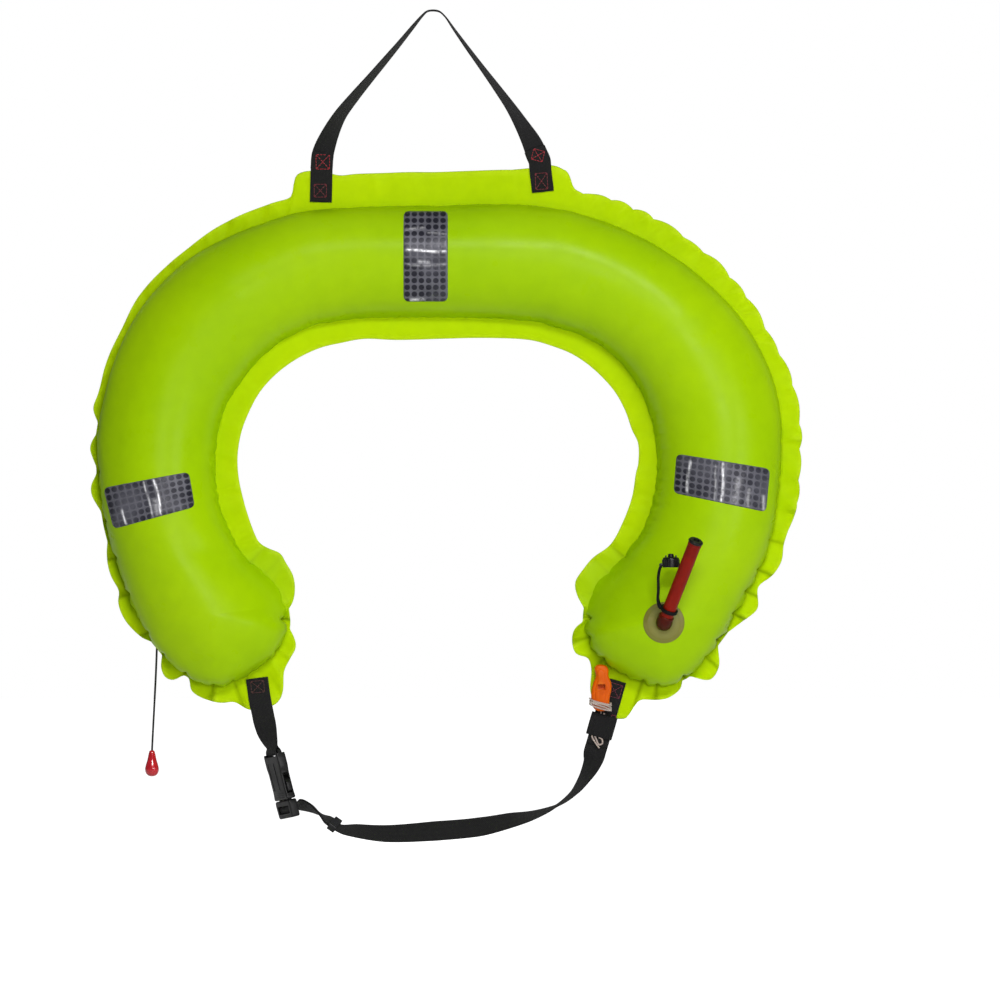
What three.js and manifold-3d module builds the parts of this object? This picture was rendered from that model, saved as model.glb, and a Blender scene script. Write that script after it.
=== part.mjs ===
// Inflatable horseshoe rescue buoy, millimetres, +Z up, front face towards -Y.
// The origin is the underside of the lifting strap's apex, where the buoy hangs.
// "Left" is the -X side and "right" the +X side.
import * as THREE from 'three';
import { mergeVertices } from 'three/addons/utils/BufferGeometryUtils.js';
import Module from 'manifold-3d';

const wasm = await Module();
wasm.setup();

const QUARTER_TURN = Math.PI / 2;
const radians = THREE.MathUtils.degToRad;
const vec = (a) => (a.isVector3 ? a.clone() : new THREE.Vector3(...a));
const unit = (x, y, z) => new THREE.Vector3(x, y, z).normalize();

// ---------------------------------------------------------------- driving dimensions
// Weld line (seam) and cut edge of the two panels, [x, z].
// OUTER and INNER run from the left arm's tip over the top to the right arm's tip.
const SEAM_OUTER = [
  [-324.8, -682.1], [-339.4, -654.1], [-351.7, -619.4], [-360.6, -589.1], [-367.4, -557.8],
  [-371.8, -518.6], [-373.0, -479.4], [-365.1, -433.4], [-348.3, -380.8], [-319.2, -327.0],
  [-274.4, -281.1], [-218.4, -249.8], [-162.4, -229.6], [-153.4, -227.4], [-87.4, -220.6],
  [-1.1, -218.4], [85.1, -217.3], [149.0, -224.0], [157.9, -226.2], [211.7, -245.3],
  [267.7, -275.5], [314.7, -313.6], [349.4, -353.9], [374.1, -401.0], [386.4, -451.4],
  [387.5, -499.5], [384.2, -543.2], [378.6, -580.2], [367.4, -616.0], [351.7, -647.4],
  [339.4, -669.8], [329.3, -687.7],
];
const SEAM_INNER = [
  [-166.9, -665.3], [-172.5, -647.4], [-191.5, -626.1], [-212.8, -608.2], [-227.4, -582.4],
  [-239.7, -552.2], [-244.2, -513.0], [-241.9, -476.0], [-233.0, -442.4], [-215.0, -413.3],
  [-189.3, -383.0], [-159.0, -361.8], [-129.9, -349.4], [-124.3, -348.3], [-81.8, -342.7],
  [-1.1, -341.6], [79.5, -343.3], [125.4, -348.3], [131.0, -350.6], [166.9, -361.8],
  [198.2, -380.8], [222.9, -407.7], [237.4, -434.6], [246.4, -462.6], [250.9, -492.8],
  [250.9, -524.2], [245.3, -553.3], [236.3, -577.9], [221.8, -600.3], [201.6, -622.7],
  [181.4, -642.9], [173.6, -667.5],
];
const EDGE_OUTER = [
  [-338.2, -694.4], [-351.7, -663.0], [-362.9, -625.0], [-369.6, -592.5], [-376.3, -560.0],
  [-380.8, -519.7], [-381.9, -476.0], [-376.3, -429.0], [-361.8, -374.1], [-331.5, -315.8],
  [-285.6, -268.8], [-228.5, -233.0], [-160.2, -209.4], [-156.8, -179.2], [-87.4, -179.2],
  [-1.1, -178.1], [85.1, -175.8], [155.7, -174.7], [161.3, -201.6], [222.9, -219.5],
  [282.2, -255.4], [332.6, -295.7], [371.8, -341.6], [398.7, -392.0], [411.0, -446.9],
  [412.2, -501.8], [408.8, -548.8], [399.8, -589.1], [385.3, -627.2], [369.6, -660.8],
  [357.3, -683.2], [346.1, -703.4],
];
const EDGE_INNER = [
  [-155.7, -663.0], [-155.7, -636.2], [-170.2, -608.2], [-196.0, -591.4], [-209.4, -563.4],
  [-217.3, -535.4], [-219.5, -504.0], [-216.2, -473.8], [-206.1, -448.0], [-191.5, -424.5],
  [-168.0, -398.7], [-143.4, -381.9], [-118.7, -370.7], [-114.2, -369.6], [-77.3, -365.7],
  [-1.1, -365.7], [75.0, -365.7], [114.2, -368.5], [119.8, -370.7], [150.1, -380.8],
  [178.1, -398.7], [200.5, -421.1], [213.9, -445.8], [222.9, -470.4], [227.4, -496.2],
  [227.4, -524.2], [222.9, -543.2], [213.9, -565.6], [201.6, -585.8], [187.0, -605.9],
  [164.6, -627.2], [159.0, -653.0],
];
// The right tip runs from the outer side to the inner, the left tip from the inner to the outer
const TIP_RIGHT_SEAM = [
  [320.3, -700.0], [300.2, -725.8], [281.1, -742.6], [256.5, -752.6], [231.8, -747.0],
  [207.2, -735.8], [188.2, -721.3], [175.8, -703.4], [172.5, -685.4],
];
const TIP_RIGHT_EDGE = [
  [336.0, -721.3], [317.0, -744.8], [292.3, -756.0], [256.5, -771.7], [231.8, -784.0],
  [200.5, -784.0], [173.6, -761.6], [156.8, -712.3], [157.9, -683.2],
];
const TIP_LEFT_SEAM = [
  [-164.6, -681.0], [-166.9, -697.8], [-180.3, -720.2], [-198.8, -733.6], [-221.8, -748.2],
  [-244.2, -752.6], [-272.2, -740.9], [-299.0, -717.9], [-314.7, -697.8],
];
const TIP_LEFT_EDGE = [
  [-154.6, -687.7], [-151.2, -712.3], [-163.5, -748.2], [-180.3, -779.5], [-212.8, -781.8],
  [-245.3, -773.9], [-281.1, -754.9], [-310.2, -734.7], [-327.0, -712.3],
];
const COAT = 1.0;                        // coated fabric of one panel
const WELD_GAP = 0.2;                    // half the gap left between the panels at the weld
const FLANGE_TOP = WELD_GAP + COAT;      // flange's outer face, from the weld plane
const DOME_RATIO = 0.98;                 // inflated height of a panel over half the tube's width
const DOME_MAX = 64;                     // most that one panel stands off the weld plane
const BEYOND = 80;                       // a distance from the weld plane clear of both domes

const WEB = 25;                          // webbing width
const WEB_T = 1.8;                       // webbing thickness
const TAB_T = 6.2;                       // webbing folded over both faces of the flange
const DOUBLED_T = 3.4;                   // doubled webbing on the right side
const LEFT_STRAP_T = 3.2;
const FLANGE_CLEAR = 1.5;                // half the slot that a folded tab leaves for the flange
const FLANGE_MARGIN = 0.7;               // slot's clearance beyond the flange's cut edge

const PATCHES = {                        // retroreflective patches, corner by corner [x, z]
  reflective_patch_top: [[-32.5, -224.0], [16.8, -224.0], [16.8, -324.8], [-32.5, -324.8]],
  reflective_patch_left: [[-367.9, -533.1], [-272.2, -515.2], [-265.4, -554.4], [-356.2, -579.0]],
  reflective_patch_right: [[272.2, -495.0], [376.3, -511.8], [371.8, -560.0], [268.8, -538.7]],
};

const VALVE = [257.6, -683.2];           // oral valve's weld disc, [x, z]
const VALVE_DISC_R = 23;
const VALVE_HOLE_R = 9.2;
const TUBE_DIR = unit(36.5, -46, 95.6);
const TUBE_R = 7.5;
const TUBE_BORE_R = 5.2;
const TUBE_FULL = 17.5;                  // along the axis from the elbow: where full width starts
const TUBE_END = 104;                    // and where the tube ends

const MANIFOLD = [-268.8, -609.5];       // inflator's weld disc on the back, [x, z]
const MANIFOLD_HOLE_R = 5.2;
const INFLATOR = vec([-276, 87.1, -622]);      // inflator body's centre
const ARM_DIR = unit(-0.445, 0, 0.8955);       // along the left arm

const BUCKLE_TOP = [-179.2, 0, -826.6];
const BUCKLE_AXIS = unit(0.243, 0, -0.970);
const BUCKLE_TURN = -62;                 // degrees the buckle is turned about its own length

const HINGE_LEFT = vec([-190.6, 0, -786.5]);   // the belt swings about the line between
const HINGE_RIGHT = vec([181.7, 0, -827.4]);   // these two
const LIFT_HINGE_Z = -171.5;

// ---------------------------------------------------------------- looks and mesh output
const LOOK = {                           // [colour, roughness, metalness]
  bladder: ['#a3cf10', 0.55, 0],
  tape: ['#8b8f92', 0.3, 0.2],
  web: ['#1b1b1d', 0.9, 0],
  buckle: ['#151517', 0.5, 0],
  whistle: ['#d9650a', 0.35, 0],
  cord: ['#d9d3cc', 0.85, 0],
  disc: ['#8a8a4a', 0.5, 0],
  tube: ['#9c1a0c', 0.45, 0],
  rubber: ['#121214', 0.7, 0],
  body: ['#242629', 0.55, 0],
  lever: ['#c9181b', 0.4, 0],
  steel: ['#b9bcc0', 0.3, 1],
  brass: ['#b7974f', 0.35, 1],
  gas: ['#8f9598', 0.35, 0.8],
  bead: ['#b3121c', 0.2, 0],
};
const group = new THREE.Group();

function signedVolume(geometry) {
  const { position } = geometry.attributes;
  const index = geometry.index;
  const [a, b, c] = [vec([0, 0, 0]), vec([0, 0, 0]), vec([0, 0, 0])];
  let volume = 0;
  for (let i = 0; i < index.count; i += 3) {
    [a, b, c].forEach((corner, k) => corner.fromBufferAttribute(position, index.getX(i + k)));
    volume += a.dot(b.cross(c)) / 6;
  }
  return volume;
}

// merged, outward-facing copy holding positions only
function closed(geometry) {
  const bare = geometry.clone();
  bare.deleteAttribute('normal');
  bare.deleteAttribute('uv');
  const merged = mergeVertices(bare, 1e-4);
  const index = merged.index.array;
  const keep = [];
  for (let i = 0; i < index.length; i += 3) {
    const [a, b, c] = [index[i], index[i + 1], index[i + 2]];
    if (a !== b && b !== c && a !== c) keep.push(a, b, c);
  }
  merged.setIndex(keep);
  if (signedVolume(merged) < 0) {
    for (let i = 0; i < keep.length; i += 3) {
      [keep[i + 1], keep[i + 2]] = [keep[i + 2], keep[i + 1]];
    }
    merged.setIndex(keep);
  }
  return merged;
}

function solid(geometry) {
  const shell = closed(geometry);
  return new wasm.Manifold(new wasm.Mesh({
    numProp: 3,
    vertProperties: new Float32Array(shell.attributes.position.array),
    triVerts: new Uint32Array(shell.index.array),
  }));
}

// body less each of the geometries
const cut = (body, ...geometries) => geometries.reduce((rest, g) => rest.subtract(solid(g)), body);

function geometryOf(body) {
  const mesh = body.getMesh();
  const geometry = new THREE.BufferGeometry();
  const positions = new Float32Array(mesh.vertProperties);
  geometry.setAttribute('position', new THREE.BufferAttribute(positions, 3));
  geometry.setIndex(new THREE.BufferAttribute(new Uint32Array(mesh.triVerts), 1));
  return geometry;
}

function put(name, shape, look, parent = group) {
  const geometry = shape.isBufferGeometry ? closed(shape) : geometryOf(shape);
  geometry.computeVertexNormals();
  const [color, roughness, metalness] = LOOK[look];
  const material = new THREE.MeshStandardMaterial({ color, roughness, metalness });
  const mesh = new THREE.Mesh(geometry, material);
  mesh.name = name;
  parent.add(mesh);
}

// a part's own axes: x and z are given, y completes the right-handed set
const basis = (x, z, origin) => new THREE.Matrix4()
  .makeBasis(x, new THREE.Vector3().crossVectors(z, x).normalize(), z)
  .setPosition(vec(origin));

function frame(x, z, origin) {
  const part = new THREE.Group();
  part.applyMatrix4(basis(x, z, origin));
  group.add(part);
  return part;
}

// ---------------------------------------------------------------- shapes
function fromTriangles(points, faces) {
  const geometry = new THREE.BufferGeometry();
  const positions = new Float32Array(points.flat());
  geometry.setAttribute('position', new THREE.BufferAttribute(positions, 3));
  geometry.setIndex(faces.flat());
  return geometry;
}

const quad = (a, b, c, d) => [[a, b, c], [a, c, d]];

const box = ([x0, x1], [y0, y1], [z0, z1]) => new THREE.BoxGeometry(x1 - x0, y1 - y0, z1 - z0)
  .translate((x0 + x1) / 2, (y0 + y1) / 2, (z0 + z1) / 2);

function rod(r, from, to, sides, endR = r) {      // r at `from`, endR at `to`
  const start = vec(from);
  const end = vec(to);
  const span = end.clone().sub(start);
  const turn = new THREE.Quaternion().setFromUnitVectors(unit(0, 1, 0), span.clone().normalize());
  return new THREE.CylinderGeometry(endR, r, span.length(), sides)
    .applyQuaternion(turn)
    .translate(...start.add(end).multiplyScalar(0.5).toArray());
}

const atDepth = ([x, z], y) => [x, y, z];
const rodAlongY = (r, spot, y0, y1, sides, endR) =>      // spot [x, z]
  rod(r, atDepth(spot, y0), atDepth(spot, y1), sides, endR);

const lathe = (profile, sides) =>                 // profile [r, z], turned about +Z
  new THREE.LatheGeometry(profile.map(([r, z]) => new THREE.Vector2(r, z)), sides)
    .rotateX(QUARTER_TURN);
const latheY = (profile, sides) =>                // profile [r, y], turned about +Y
  lathe(profile, sides).rotateX(-QUARTER_TURN);

function outline(points) {
  const shape = new THREE.Shape();
  points.forEach(([x, y], i) => (i ? shape.lineTo(x, y) : shape.moveTo(x, y)));
  shape.closePath();
  return shape;
}

function rounded(points, r) {                     // polygon with its corners rounded off
  const shape = new THREE.Shape();
  const count = points.length;
  points.forEach((point, i) => {
    const corner = new THREE.Vector2(...point);
    const towards = (other) =>
      new THREE.Vector2(...other).sub(corner).normalize().multiplyScalar(r).add(corner);
    const before = towards(points[(i + count - 1) % count]);
    const after = towards(points[(i + 1) % count]);
    if (i) shape.lineTo(before.x, before.y);
    else shape.moveTo(before.x, before.y);
    shape.quadraticCurveTo(corner.x, corner.y, after.x, after.y);
  });
  shape.closePath();
  return shape;
}

const rectangle = ([x0, x1], [y0, y1]) => [[x0, y0], [x1, y0], [x1, y1], [x0, y1]];

function withWindow(shape, [x0, x1], [y0, y1]) {  // shape with a rectangular hole
  shape.holes.push(outline([[x0, y0], [x0, y1], [x1, y1], [x1, y0]]));
  return shape;
}

const prism = (shape, z0, z1, curveSegments = 3) =>      // shape in x, y
  new THREE.ExtrudeGeometry(shape, { depth: z1 - z0, bevelEnabled: false, curveSegments })
    .translate(0, 0, z0);
const prismXZ = (shape, y0, y1) => prism(shape, -y1, -y0).rotateX(QUARTER_TURN);

const bevelled = (shape, z0, z1, bevel, curveSegments = 3) => new THREE.ExtrudeGeometry(shape, {
  depth: z1 - z0 - 2 * bevel,
  bevelEnabled: true,
  bevelThickness: bevel,
  bevelSize: bevel,
  bevelOffset: -bevel,
  bevelSegments: 1,
  curveSegments,
}).translate(0, 0, z0 + bevel);

const smooth = (points, loop = false) =>
  new THREE.CatmullRomCurve3(points.map(vec), loop, 'centripetal');

function roundAlong(curve, r, steps, sides) {     // round section swept along a curve
  const section = outline(Array.from({ length: sides }, (_, i) => {
    const angle = (i / sides) * 2 * Math.PI;
    return [r * Math.cos(angle), r * Math.sin(angle)];
  }));
  return new THREE.ExtrudeGeometry(section, { extrudePath: curve, steps, bevelEnabled: false });
}

function coil(r, wireR, from, to, turns) {        // helix about +Z, `from` to `to` over the wire
  const stepsPerTurn = 9;
  const steps = turns * stepsPerTurn;
  const points = [];
  for (let i = 0; i <= steps; i++) {
    const angle = (i / stepsPerTurn) * 2 * Math.PI;
    const z = THREE.MathUtils.lerp(from + wireR, to - wireR, i / steps);
    points.push([r * Math.cos(angle), r * Math.sin(angle), z]);
  }
  return roundAlong(smooth(points), wireR, steps, 5);
}

function heading(points, i) {                     // direction of travel at point i of a path
  const before = vec(points[Math.max(i - 1, 0)]);
  return vec(points[Math.min(i + 1, points.length - 1)]).sub(before).normalize();
}

// width direction square to `direction`: in the XZ plane at 0 degrees, along +Y at 90
function turned(direction, degrees) {
  const angle = radians(degrees);
  return unit(-direction.z, 0, direction.x)
    .multiplyScalar(Math.cos(angle))
    .add(vec([0, Math.sin(angle), 0]))
    .normalize();
}

// flat strip through stations [centre, across]; `across` is the width's direction,
// longer than a unit where the end is cut on the skew
function strip(stations, width = WEB, thick = WEB_T) {
  const centres = stations.map(([centre]) => centre);
  const points = [];
  stations.forEach(([centre, across], i) => {
    const side = vec(across);
    const up = new THREE.Vector3().crossVectors(heading(centres, i), side)
      .normalize().multiplyScalar(thick / 2);
    side.multiplyScalar(width / 2);
    for (const [a, b] of [[-1, -1], [1, -1], [1, 1], [-1, 1]]) {
      points.push(vec(centre).addScaledVector(side, a).addScaledVector(up, b).toArray());
    }
  });
  const faces = [];
  const end = 4 * (stations.length - 1);
  for (let first = 0; first < end; first += 4) {
    for (let k = 0; k < 4; k++) {
      const a = first + k;
      const b = first + (k + 1) % 4;
      faces.push(...quad(a, b, b + 4, a + 4));
    }
  }
  faces.push([2, 1, 0], [3, 2, 0], ...quad(end, end + 1, end + 2, end + 3));
  return fromTriangles(points, faces);
}

// ---------------------------------------------------------------- bladder
// Highest line of the inflated tube: plan point [x, z] and height off the weld plane
const HALF_WIDTHS = SEAM_OUTER.map(([x, z], i) =>
  Math.hypot(x - SEAM_INNER[i][0], z - SEAM_INNER[i][1]) / 2);
const LAST = SEAM_OUTER.length - 1;
const RIDGE = SEAM_OUTER.map(([x, z], i) => {
  const near = [Math.max(i - 1, 0), i, Math.min(i + 1, LAST)];
  const half = near.reduce((sum, k) => sum + HALF_WIDTHS[k], 0) / 3;
  return {
    at: [(x + SEAM_INNER[i][0]) / 2, (z + SEAM_INNER[i][1]) / 2],
    high: Math.min(DOME_RATIO * half, DOME_MAX),
  };
});

// Once round the outline: seam point, edge point and the ridge point that serves them
const RIM = [
  ...SEAM_OUTER.map((seam, i) => ({ seam, edge: EDGE_OUTER[i], ridge: i })),
  ...TIP_RIGHT_SEAM.map((seam, i) => ({ seam, edge: TIP_RIGHT_EDGE[i], ridge: LAST })),
  ...SEAM_INNER.map((seam, i) => ({ seam, edge: EDGE_INNER[i], ridge: i })).reverse(),
  ...TIP_LEFT_SEAM.map((seam, i) => ({ seam, edge: TIP_LEFT_EDGE[i], ridge: 0 })),
];
// Degrees round the dome's quarter ellipse, from the ridge towards the seam
const PANEL_ROWS = [18, 36, 54, 72, 90];
const SKIN_ROWS = [18, 36, 54, 72, 86];

// Ridge points, then one ring of points for each row. `side` is -1 front, 1 back; `lift` is the
// offset at the ridge, `foot` the height at 90 degrees and `reach` the offset at the seam.
function domePoints(side, lift, foot, reach, rows) {
  const points = RIDGE.map(({ at: [x, z], high }) => [x, side * (high + lift), z]);
  for (const angle of rows.map(radians)) {
    for (const { seam, ridge } of RIM) {
      const { at: [x, z], high } = RIDGE[ridge];
      const dx = seam[0] - x;
      const dz = seam[1] - z;
      const far = Math.hypot(dx, dz);
      const share = ((far + reach) / far) * Math.sin(angle);
      const y = side * (foot + (high + lift - foot) * Math.cos(angle));
      points.push([x + dx * share, y, z + dz * share]);
    }
  }
  return points;
}

// Where the tips share one ridge point the ridge triangles collapse; closed() drops them
function domeFaces(first, rowCount, flip) {
  const count = RIM.length;
  const ring = (row, i) => first + RIDGE.length + row * count + (i % count);
  const faces = [];
  for (let i = 0; i < count; i++) {
    const a = first + RIM[i].ridge;
    const b = first + RIM[(i + 1) % count].ridge;
    faces.push([a, ring(0, i), ring(0, i + 1)], [a, ring(0, i + 1), b]);
    for (let row = 0; row + 1 < rowCount; row++) {
      faces.push(...quad(ring(row, i), ring(row + 1, i), ring(row + 1, i + 1), ring(row, i + 1)));
    }
  }
  return flip ? faces.map(([a, b, c]) => [a, c, b]) : faces;
}

function rimFaces(pairs) {               // bands between pairs of rings, given by first points
  const faces = [];
  for (let i = 0; i < RIM.length; i++) {
    const next = (i + 1) % RIM.length;
    for (const [a, b] of pairs) faces.push(...quad(a + i, b + i, b + next, a + next));
  }
  return faces;
}

function twoDomes(outer, inner, rowCount) {
  const lastRing = RIDGE.length + (rowCount - 1) * RIM.length;
  return {
    points: [...outer, ...inner],
    faces: [...domeFaces(0, rowCount, false), ...domeFaces(outer.length, rowCount, true)],
    outerSeam: lastRing,
    innerSeam: outer.length + lastRing,
  };
}

function panel(side) {                   // domed sheet with its weld flange, one closed body
  const { points, faces, outerSeam, innerSeam } = twoDomes(
    domePoints(side, 0, FLANGE_TOP, 0, PANEL_ROWS),
    domePoints(side, -COAT, WELD_GAP, -COAT, PANEL_ROWS),
    PANEL_ROWS.length,
  );
  const outerEdge = points.length;
  const innerEdge = outerEdge + RIM.length;
  for (const y of [FLANGE_TOP, WELD_GAP]) {
    for (const { edge } of RIM) points.push(atDepth(edge, side * y));
  }
  const bands = [[outerSeam, outerEdge], [outerEdge, innerEdge], [innerEdge, innerSeam]];
  return solid(fromTriangles(points, [...faces, ...rimFaces(bands)]));
}

function skin(side, low, high) {         // thin shell lying on a panel, between two offsets
  const { points, faces, outerSeam, innerSeam } = twoDomes(
    domePoints(side, high, FLANGE_TOP, high, SKIN_ROWS),
    domePoints(side, low, FLANGE_TOP, low, SKIN_ROWS),
    SKIN_ROWS.length,
  );
  return solid(fromTriangles(points, [...faces, ...rimFaces([[outerSeam, innerSeam]])]));
}

put('front_panel', cut(panel(-1), rodAlongY(VALVE_HOLE_R, VALVE, -BEYOND, -40, 20)), 'bladder');
put('back_panel', cut(panel(1), rodAlongY(MANIFOLD_HOLE_R, MANIFOLD, 40, BEYOND, 16)), 'bladder');

const tapeSkin = skin(-1, 0.5, 1.1);
for (const [name, corners] of Object.entries(PATCHES)) {
  put(name, tapeSkin.intersect(solid(prismXZ(rounded(corners, 6), -BEYOND, -1.6))), 'tape');
}

function grown(points, by) {             // polygon moved outwards, point by point
  const count = points.length;
  return points.map(([x, z], i) => {
    const before = points[(i + count - 1) % count];
    const after = points[(i + 1) % count];
    const along = new THREE.Vector2(after[0] - before[0], after[1] - before[1]).normalize();
    return [x - along.y * by, z + along.x * by];
  });
}
// slab round the flange, which the folded webbing tabs are cut back from
const flangeSlab = solid(prismXZ(
  outline(grown(RIM.map(({ edge }) => edge), FLANGE_MARGIN)), -FLANGE_CLEAR, FLANGE_CLEAR,
));

// ---------------------------------------------------------------- lifting strap
const ALONG_X = [1, 0, 0];
const LIFT_ANCHOR_END = LIFT_HINGE_Z - 1.8;
const LIFT_STRAP_END = LIFT_HINGE_Z + 0.2;
const LIFT_ANCHORS = [                   // name, width, centreline [x, z]
  ['lift_strap_anchor_left', WEB - 2.4,
    [[-125.6, -213.0], [-125.2, -200.0], [-124.9, -187.0], [-124.6, LIFT_ANCHOR_END]]],
  ['lift_strap_anchor_right', WEB - 1.6,
    [[123.2, -201.5], [122.3, -192.0], [121.0, -182.0], [120.0, LIFT_ANCHOR_END]]],
];
for (const [name, width, path] of LIFT_ANCHORS) {
  const stations = path.map((spot) => [atDepth(spot, 0), ALONG_X]);
  put(name, solid(strip(stations, width, TAB_T)).subtract(flangeSlab), 'web');
}

const LIFT_PATH = [                      // [x, z, twist in degrees]
  [-124.5, LIFT_STRAP_END, 0], [-124.3, -166.5, 1], [-122.6, -156.2, 18],
  [-114.8, -135.9, 42], [-103.8, -115.4, 58], [-88.0, -95.0, 66], [-70.8, -74.6, 72],
  [-53.5, -54.1, 76], [-37.7, -35.3, 80], [-22.0, -16.0, 84], [-12.0, -4.2, 88],
  [-6.0, WEB_T / 2, 90], [6.0, WEB_T / 2, 90],
  [12.5, -4.0, 92], [24.0, -20.0, 96], [38.0, -39.5, 100], [55.0, -62.5, 104],
  [72.0, -85.5, 110], [88.0, -108.0, 118], [101.0, -129.0, 132], [110.5, -146.0, 150],
  [116.5, -160.0, 165], [119.4, -166.5, 179], [119.9, LIFT_STRAP_END, 180],
];
const LIFT_LONG_BAY = 14;                // bays this long are divided, so the strap turns evenly

function liftStrap() {
  const centres = LIFT_PATH.map((spot) => vec(atDepth(spot, 0)));
  const across = LIFT_PATH.map(([, , twist], i) => turned(heading(centres, i).negate(), twist));
  across[0] = vec(ALONG_X);
  across[across.length - 1] = vec(ALONG_X);
  return strip(centres.flatMap((centre, i) => {
    const station = [centre, across[i]];
    const next = centres[i + 1];
    if (!next || centre.distanceTo(next) < LIFT_LONG_BAY) return [station];
    return [station, ...[1 / 3, 2 / 3].map((share) => [
      centre.clone().lerp(next, share),
      across[i].clone().lerp(across[i + 1], share).normalize(),
    ])];
  }));
}
put('lift_strap', liftStrap(), 'web');

// ---------------------------------------------------------------- belt, left side
const HINGE_AXIS = HINGE_RIGHT.clone().sub(HINGE_LEFT).normalize();

// width direction laid along the hinge line and lengthened, so the cut end is parallel to it
function skewed(across) {
  const direction = HINGE_AXIS.clone().multiplyScalar(Math.sign(HINGE_AXIS.dot(vec(across))));
  return direction.multiplyScalar(1 / Math.abs(direction.dot(vec(across).normalize())));
}
// point `above` the hinge line at x
const nearHinge = (x, above) =>
  [x, 0, HINGE_LEFT.z + (x - HINGE_LEFT.x) * (HINGE_AXIS.z / HINGE_AXIS.x) + above];

const LEFT_ANCHOR_W = [0.985, 0, 0.17];
put('left_strap_anchor', solid(strip([
  [[-197.2, 0, -746.0], [0.995, 0, 0.06]],
  [[-193.8, 0, -770.0], LEFT_ANCHOR_W],
  [nearHinge(-190.9, 2.5), skewed(LEFT_ANCHOR_W)],
], WEB - 1.5, TAB_T)).subtract(flangeSlab), 'web');

// Buckle's own frame: x width, y length, z thickness
const BUCKLE_W = turned(BUCKLE_AXIS, BUCKLE_TURN);
const BUCKLE_NORMAL = new THREE.Vector3().crossVectors(BUCKLE_W, BUCKLE_AXIS).normalize();
const BUCKLE_MATRIX = basis(BUCKLE_W, BUCKLE_NORMAL, BUCKLE_TOP);
const onBuckle = (x, y, z) => vec([x, y, z]).applyMatrix4(BUCKLE_MATRIX).toArray();

const BAR_HALF = 1.9;                    // half the thickness of the bars that hold webbing
const SOCKET_BAR = [0, 4.5];             // the bars' extent along the buckle
const PLUG_BAR = [66.5, 70.5];
const LOOP_GAP = 0.4;                    // between a bar and the webbing folded round it
const LOOP_WALL = 1.5;

function webLoop([y0, y1]) {             // webbing folded round a bar, placed on the buckle
  const gapHalf = BAR_HALF + LOOP_GAP;
  const loopHalf = gapHalf + LOOP_WALL;
  const gap = [y0 - LOOP_GAP, y1 + LOOP_GAP];
  const loop = outline(rectangle([gap[0] - LOOP_WALL, gap[1] + LOOP_WALL], [-loopHalf, loopHalf]));
  const toBuckleAxes = new THREE.Matrix4().makeBasis(unit(0, 1, 0), unit(0, 0, 1), unit(1, 0, 0));
  return solid(prism(withWindow(loop, gap, [-gapHalf, gapHalf]), -WEB / 2, WEB / 2)
    .applyMatrix4(toBuckleAxes)
    .applyMatrix4(BUCKLE_MATRIX));
}

function leftStrap() {
  const path = [                         // point, twist in degrees
    [nearHinge(-190.1, -1.1), 0], [nearHinge(-189.5, -5.0), 0], [[-188.2, 0, -797.0], -12],
    [[-185.6, 0, -807.5], -30], [[-182.6, 0, -816.5], -48],
    [onBuckle(0, -1.2, 0), BUCKLE_TURN],
  ];
  const centres = path.map(([centre]) => centre);
  const stations = path.map(([centre, twist], i) => [centre, turned(heading(centres, i), twist)]);
  stations[0][1] = skewed(stations[0][1]);
  stations[stations.length - 1][1] = BUCKLE_W;    // lies flat on the buckle's bar
  return solid(strip(stations, WEB, LEFT_STRAP_T)).add(webLoop(SOCKET_BAR));
}
put('left_strap', leftStrap(), 'web');

// ---------------------------------------------------------------- side-release buckle
const buckle = frame(BUCKLE_W, BUCKLE_NORMAL, BUCKLE_TOP);
const SLOT_X = [-13.4, 13.4];            // width of the strap slots
const THROUGH = [-9, 9];                 // z extent of cuts right through the buckle
const ABOVE_BAR = [BAR_HALF, THROUGH[1]];
const BELOW_BAR = [THROUGH[0], -BAR_HALF];
const MOUTH_Z = [-3.4, 3.4];

const SOCKET_OUTLINE = [                 // [x, y]
  [-15.5, 0], [15.5, 0], [17.2, 8], [17.2, 20], [15.6, 26], [15.6, 49],
  [17.2, 57], [-17.2, 57], [-15.6, 49], [-15.6, 26], [-17.2, 20], [-17.2, 8],
];
put('buckle_socket', cut(
  solid(bevelled(rounded(SOCKET_OUTLINE, 1.6), -5.6, 5.6, 1.2, 2)),
  box([-20, 20], [-1, SOCKET_BAR[1]], ABOVE_BAR),     // thin bar at the strap end
  box([-20, 20], [-1, SOCKET_BAR[1]], BELOW_BAR),
  box(SLOT_X, [SOCKET_BAR[1], 10.5], THROUGH),        // strap slot
  box([-13.2, 13.2], [16, 60], MOUTH_Z),              // mouth for the plug
  box([-20, 20], [27, 50.5], MOUTH_Z),                // side windows
), 'buckle', buckle);

const PLUG_OUTLINE = [[-17, 57.8], [17, 57.8], [18, 62], [17, 78], [-17, 78], [-18, 62]];
function bucklePlug() {
  const body = cut(
    solid(bevelled(rounded(PLUG_OUTLINE, 1.5), -5.2, 5.2, 1.0, 2)),
    box(SLOT_X, [61.5, PLUG_BAR[0]], THROUGH),        // first slot
    box(SLOT_X, [PLUG_BAR[1], 74.2], THROUGH),        // second slot
    box(SLOT_X, [66, 71], ABOVE_BAR),                 // thin bar between them
    box(SLOT_X, [66, 71], BELOW_BAR),
  );
  const guide = box([-2, 2], [30, 58.5], [-2.8, 2.8]);
  return cut(                                         // recesses at the prongs' roots
    body.add(solid(guide)),
    box([-11.4, -6.1], [57, 59.6], MOUTH_Z),
    box([6.1, 11.4], [57, 59.6], MOUTH_Z),
  );
}
put('buckle_plug', bucklePlug(), 'buckle', buckle);

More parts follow.
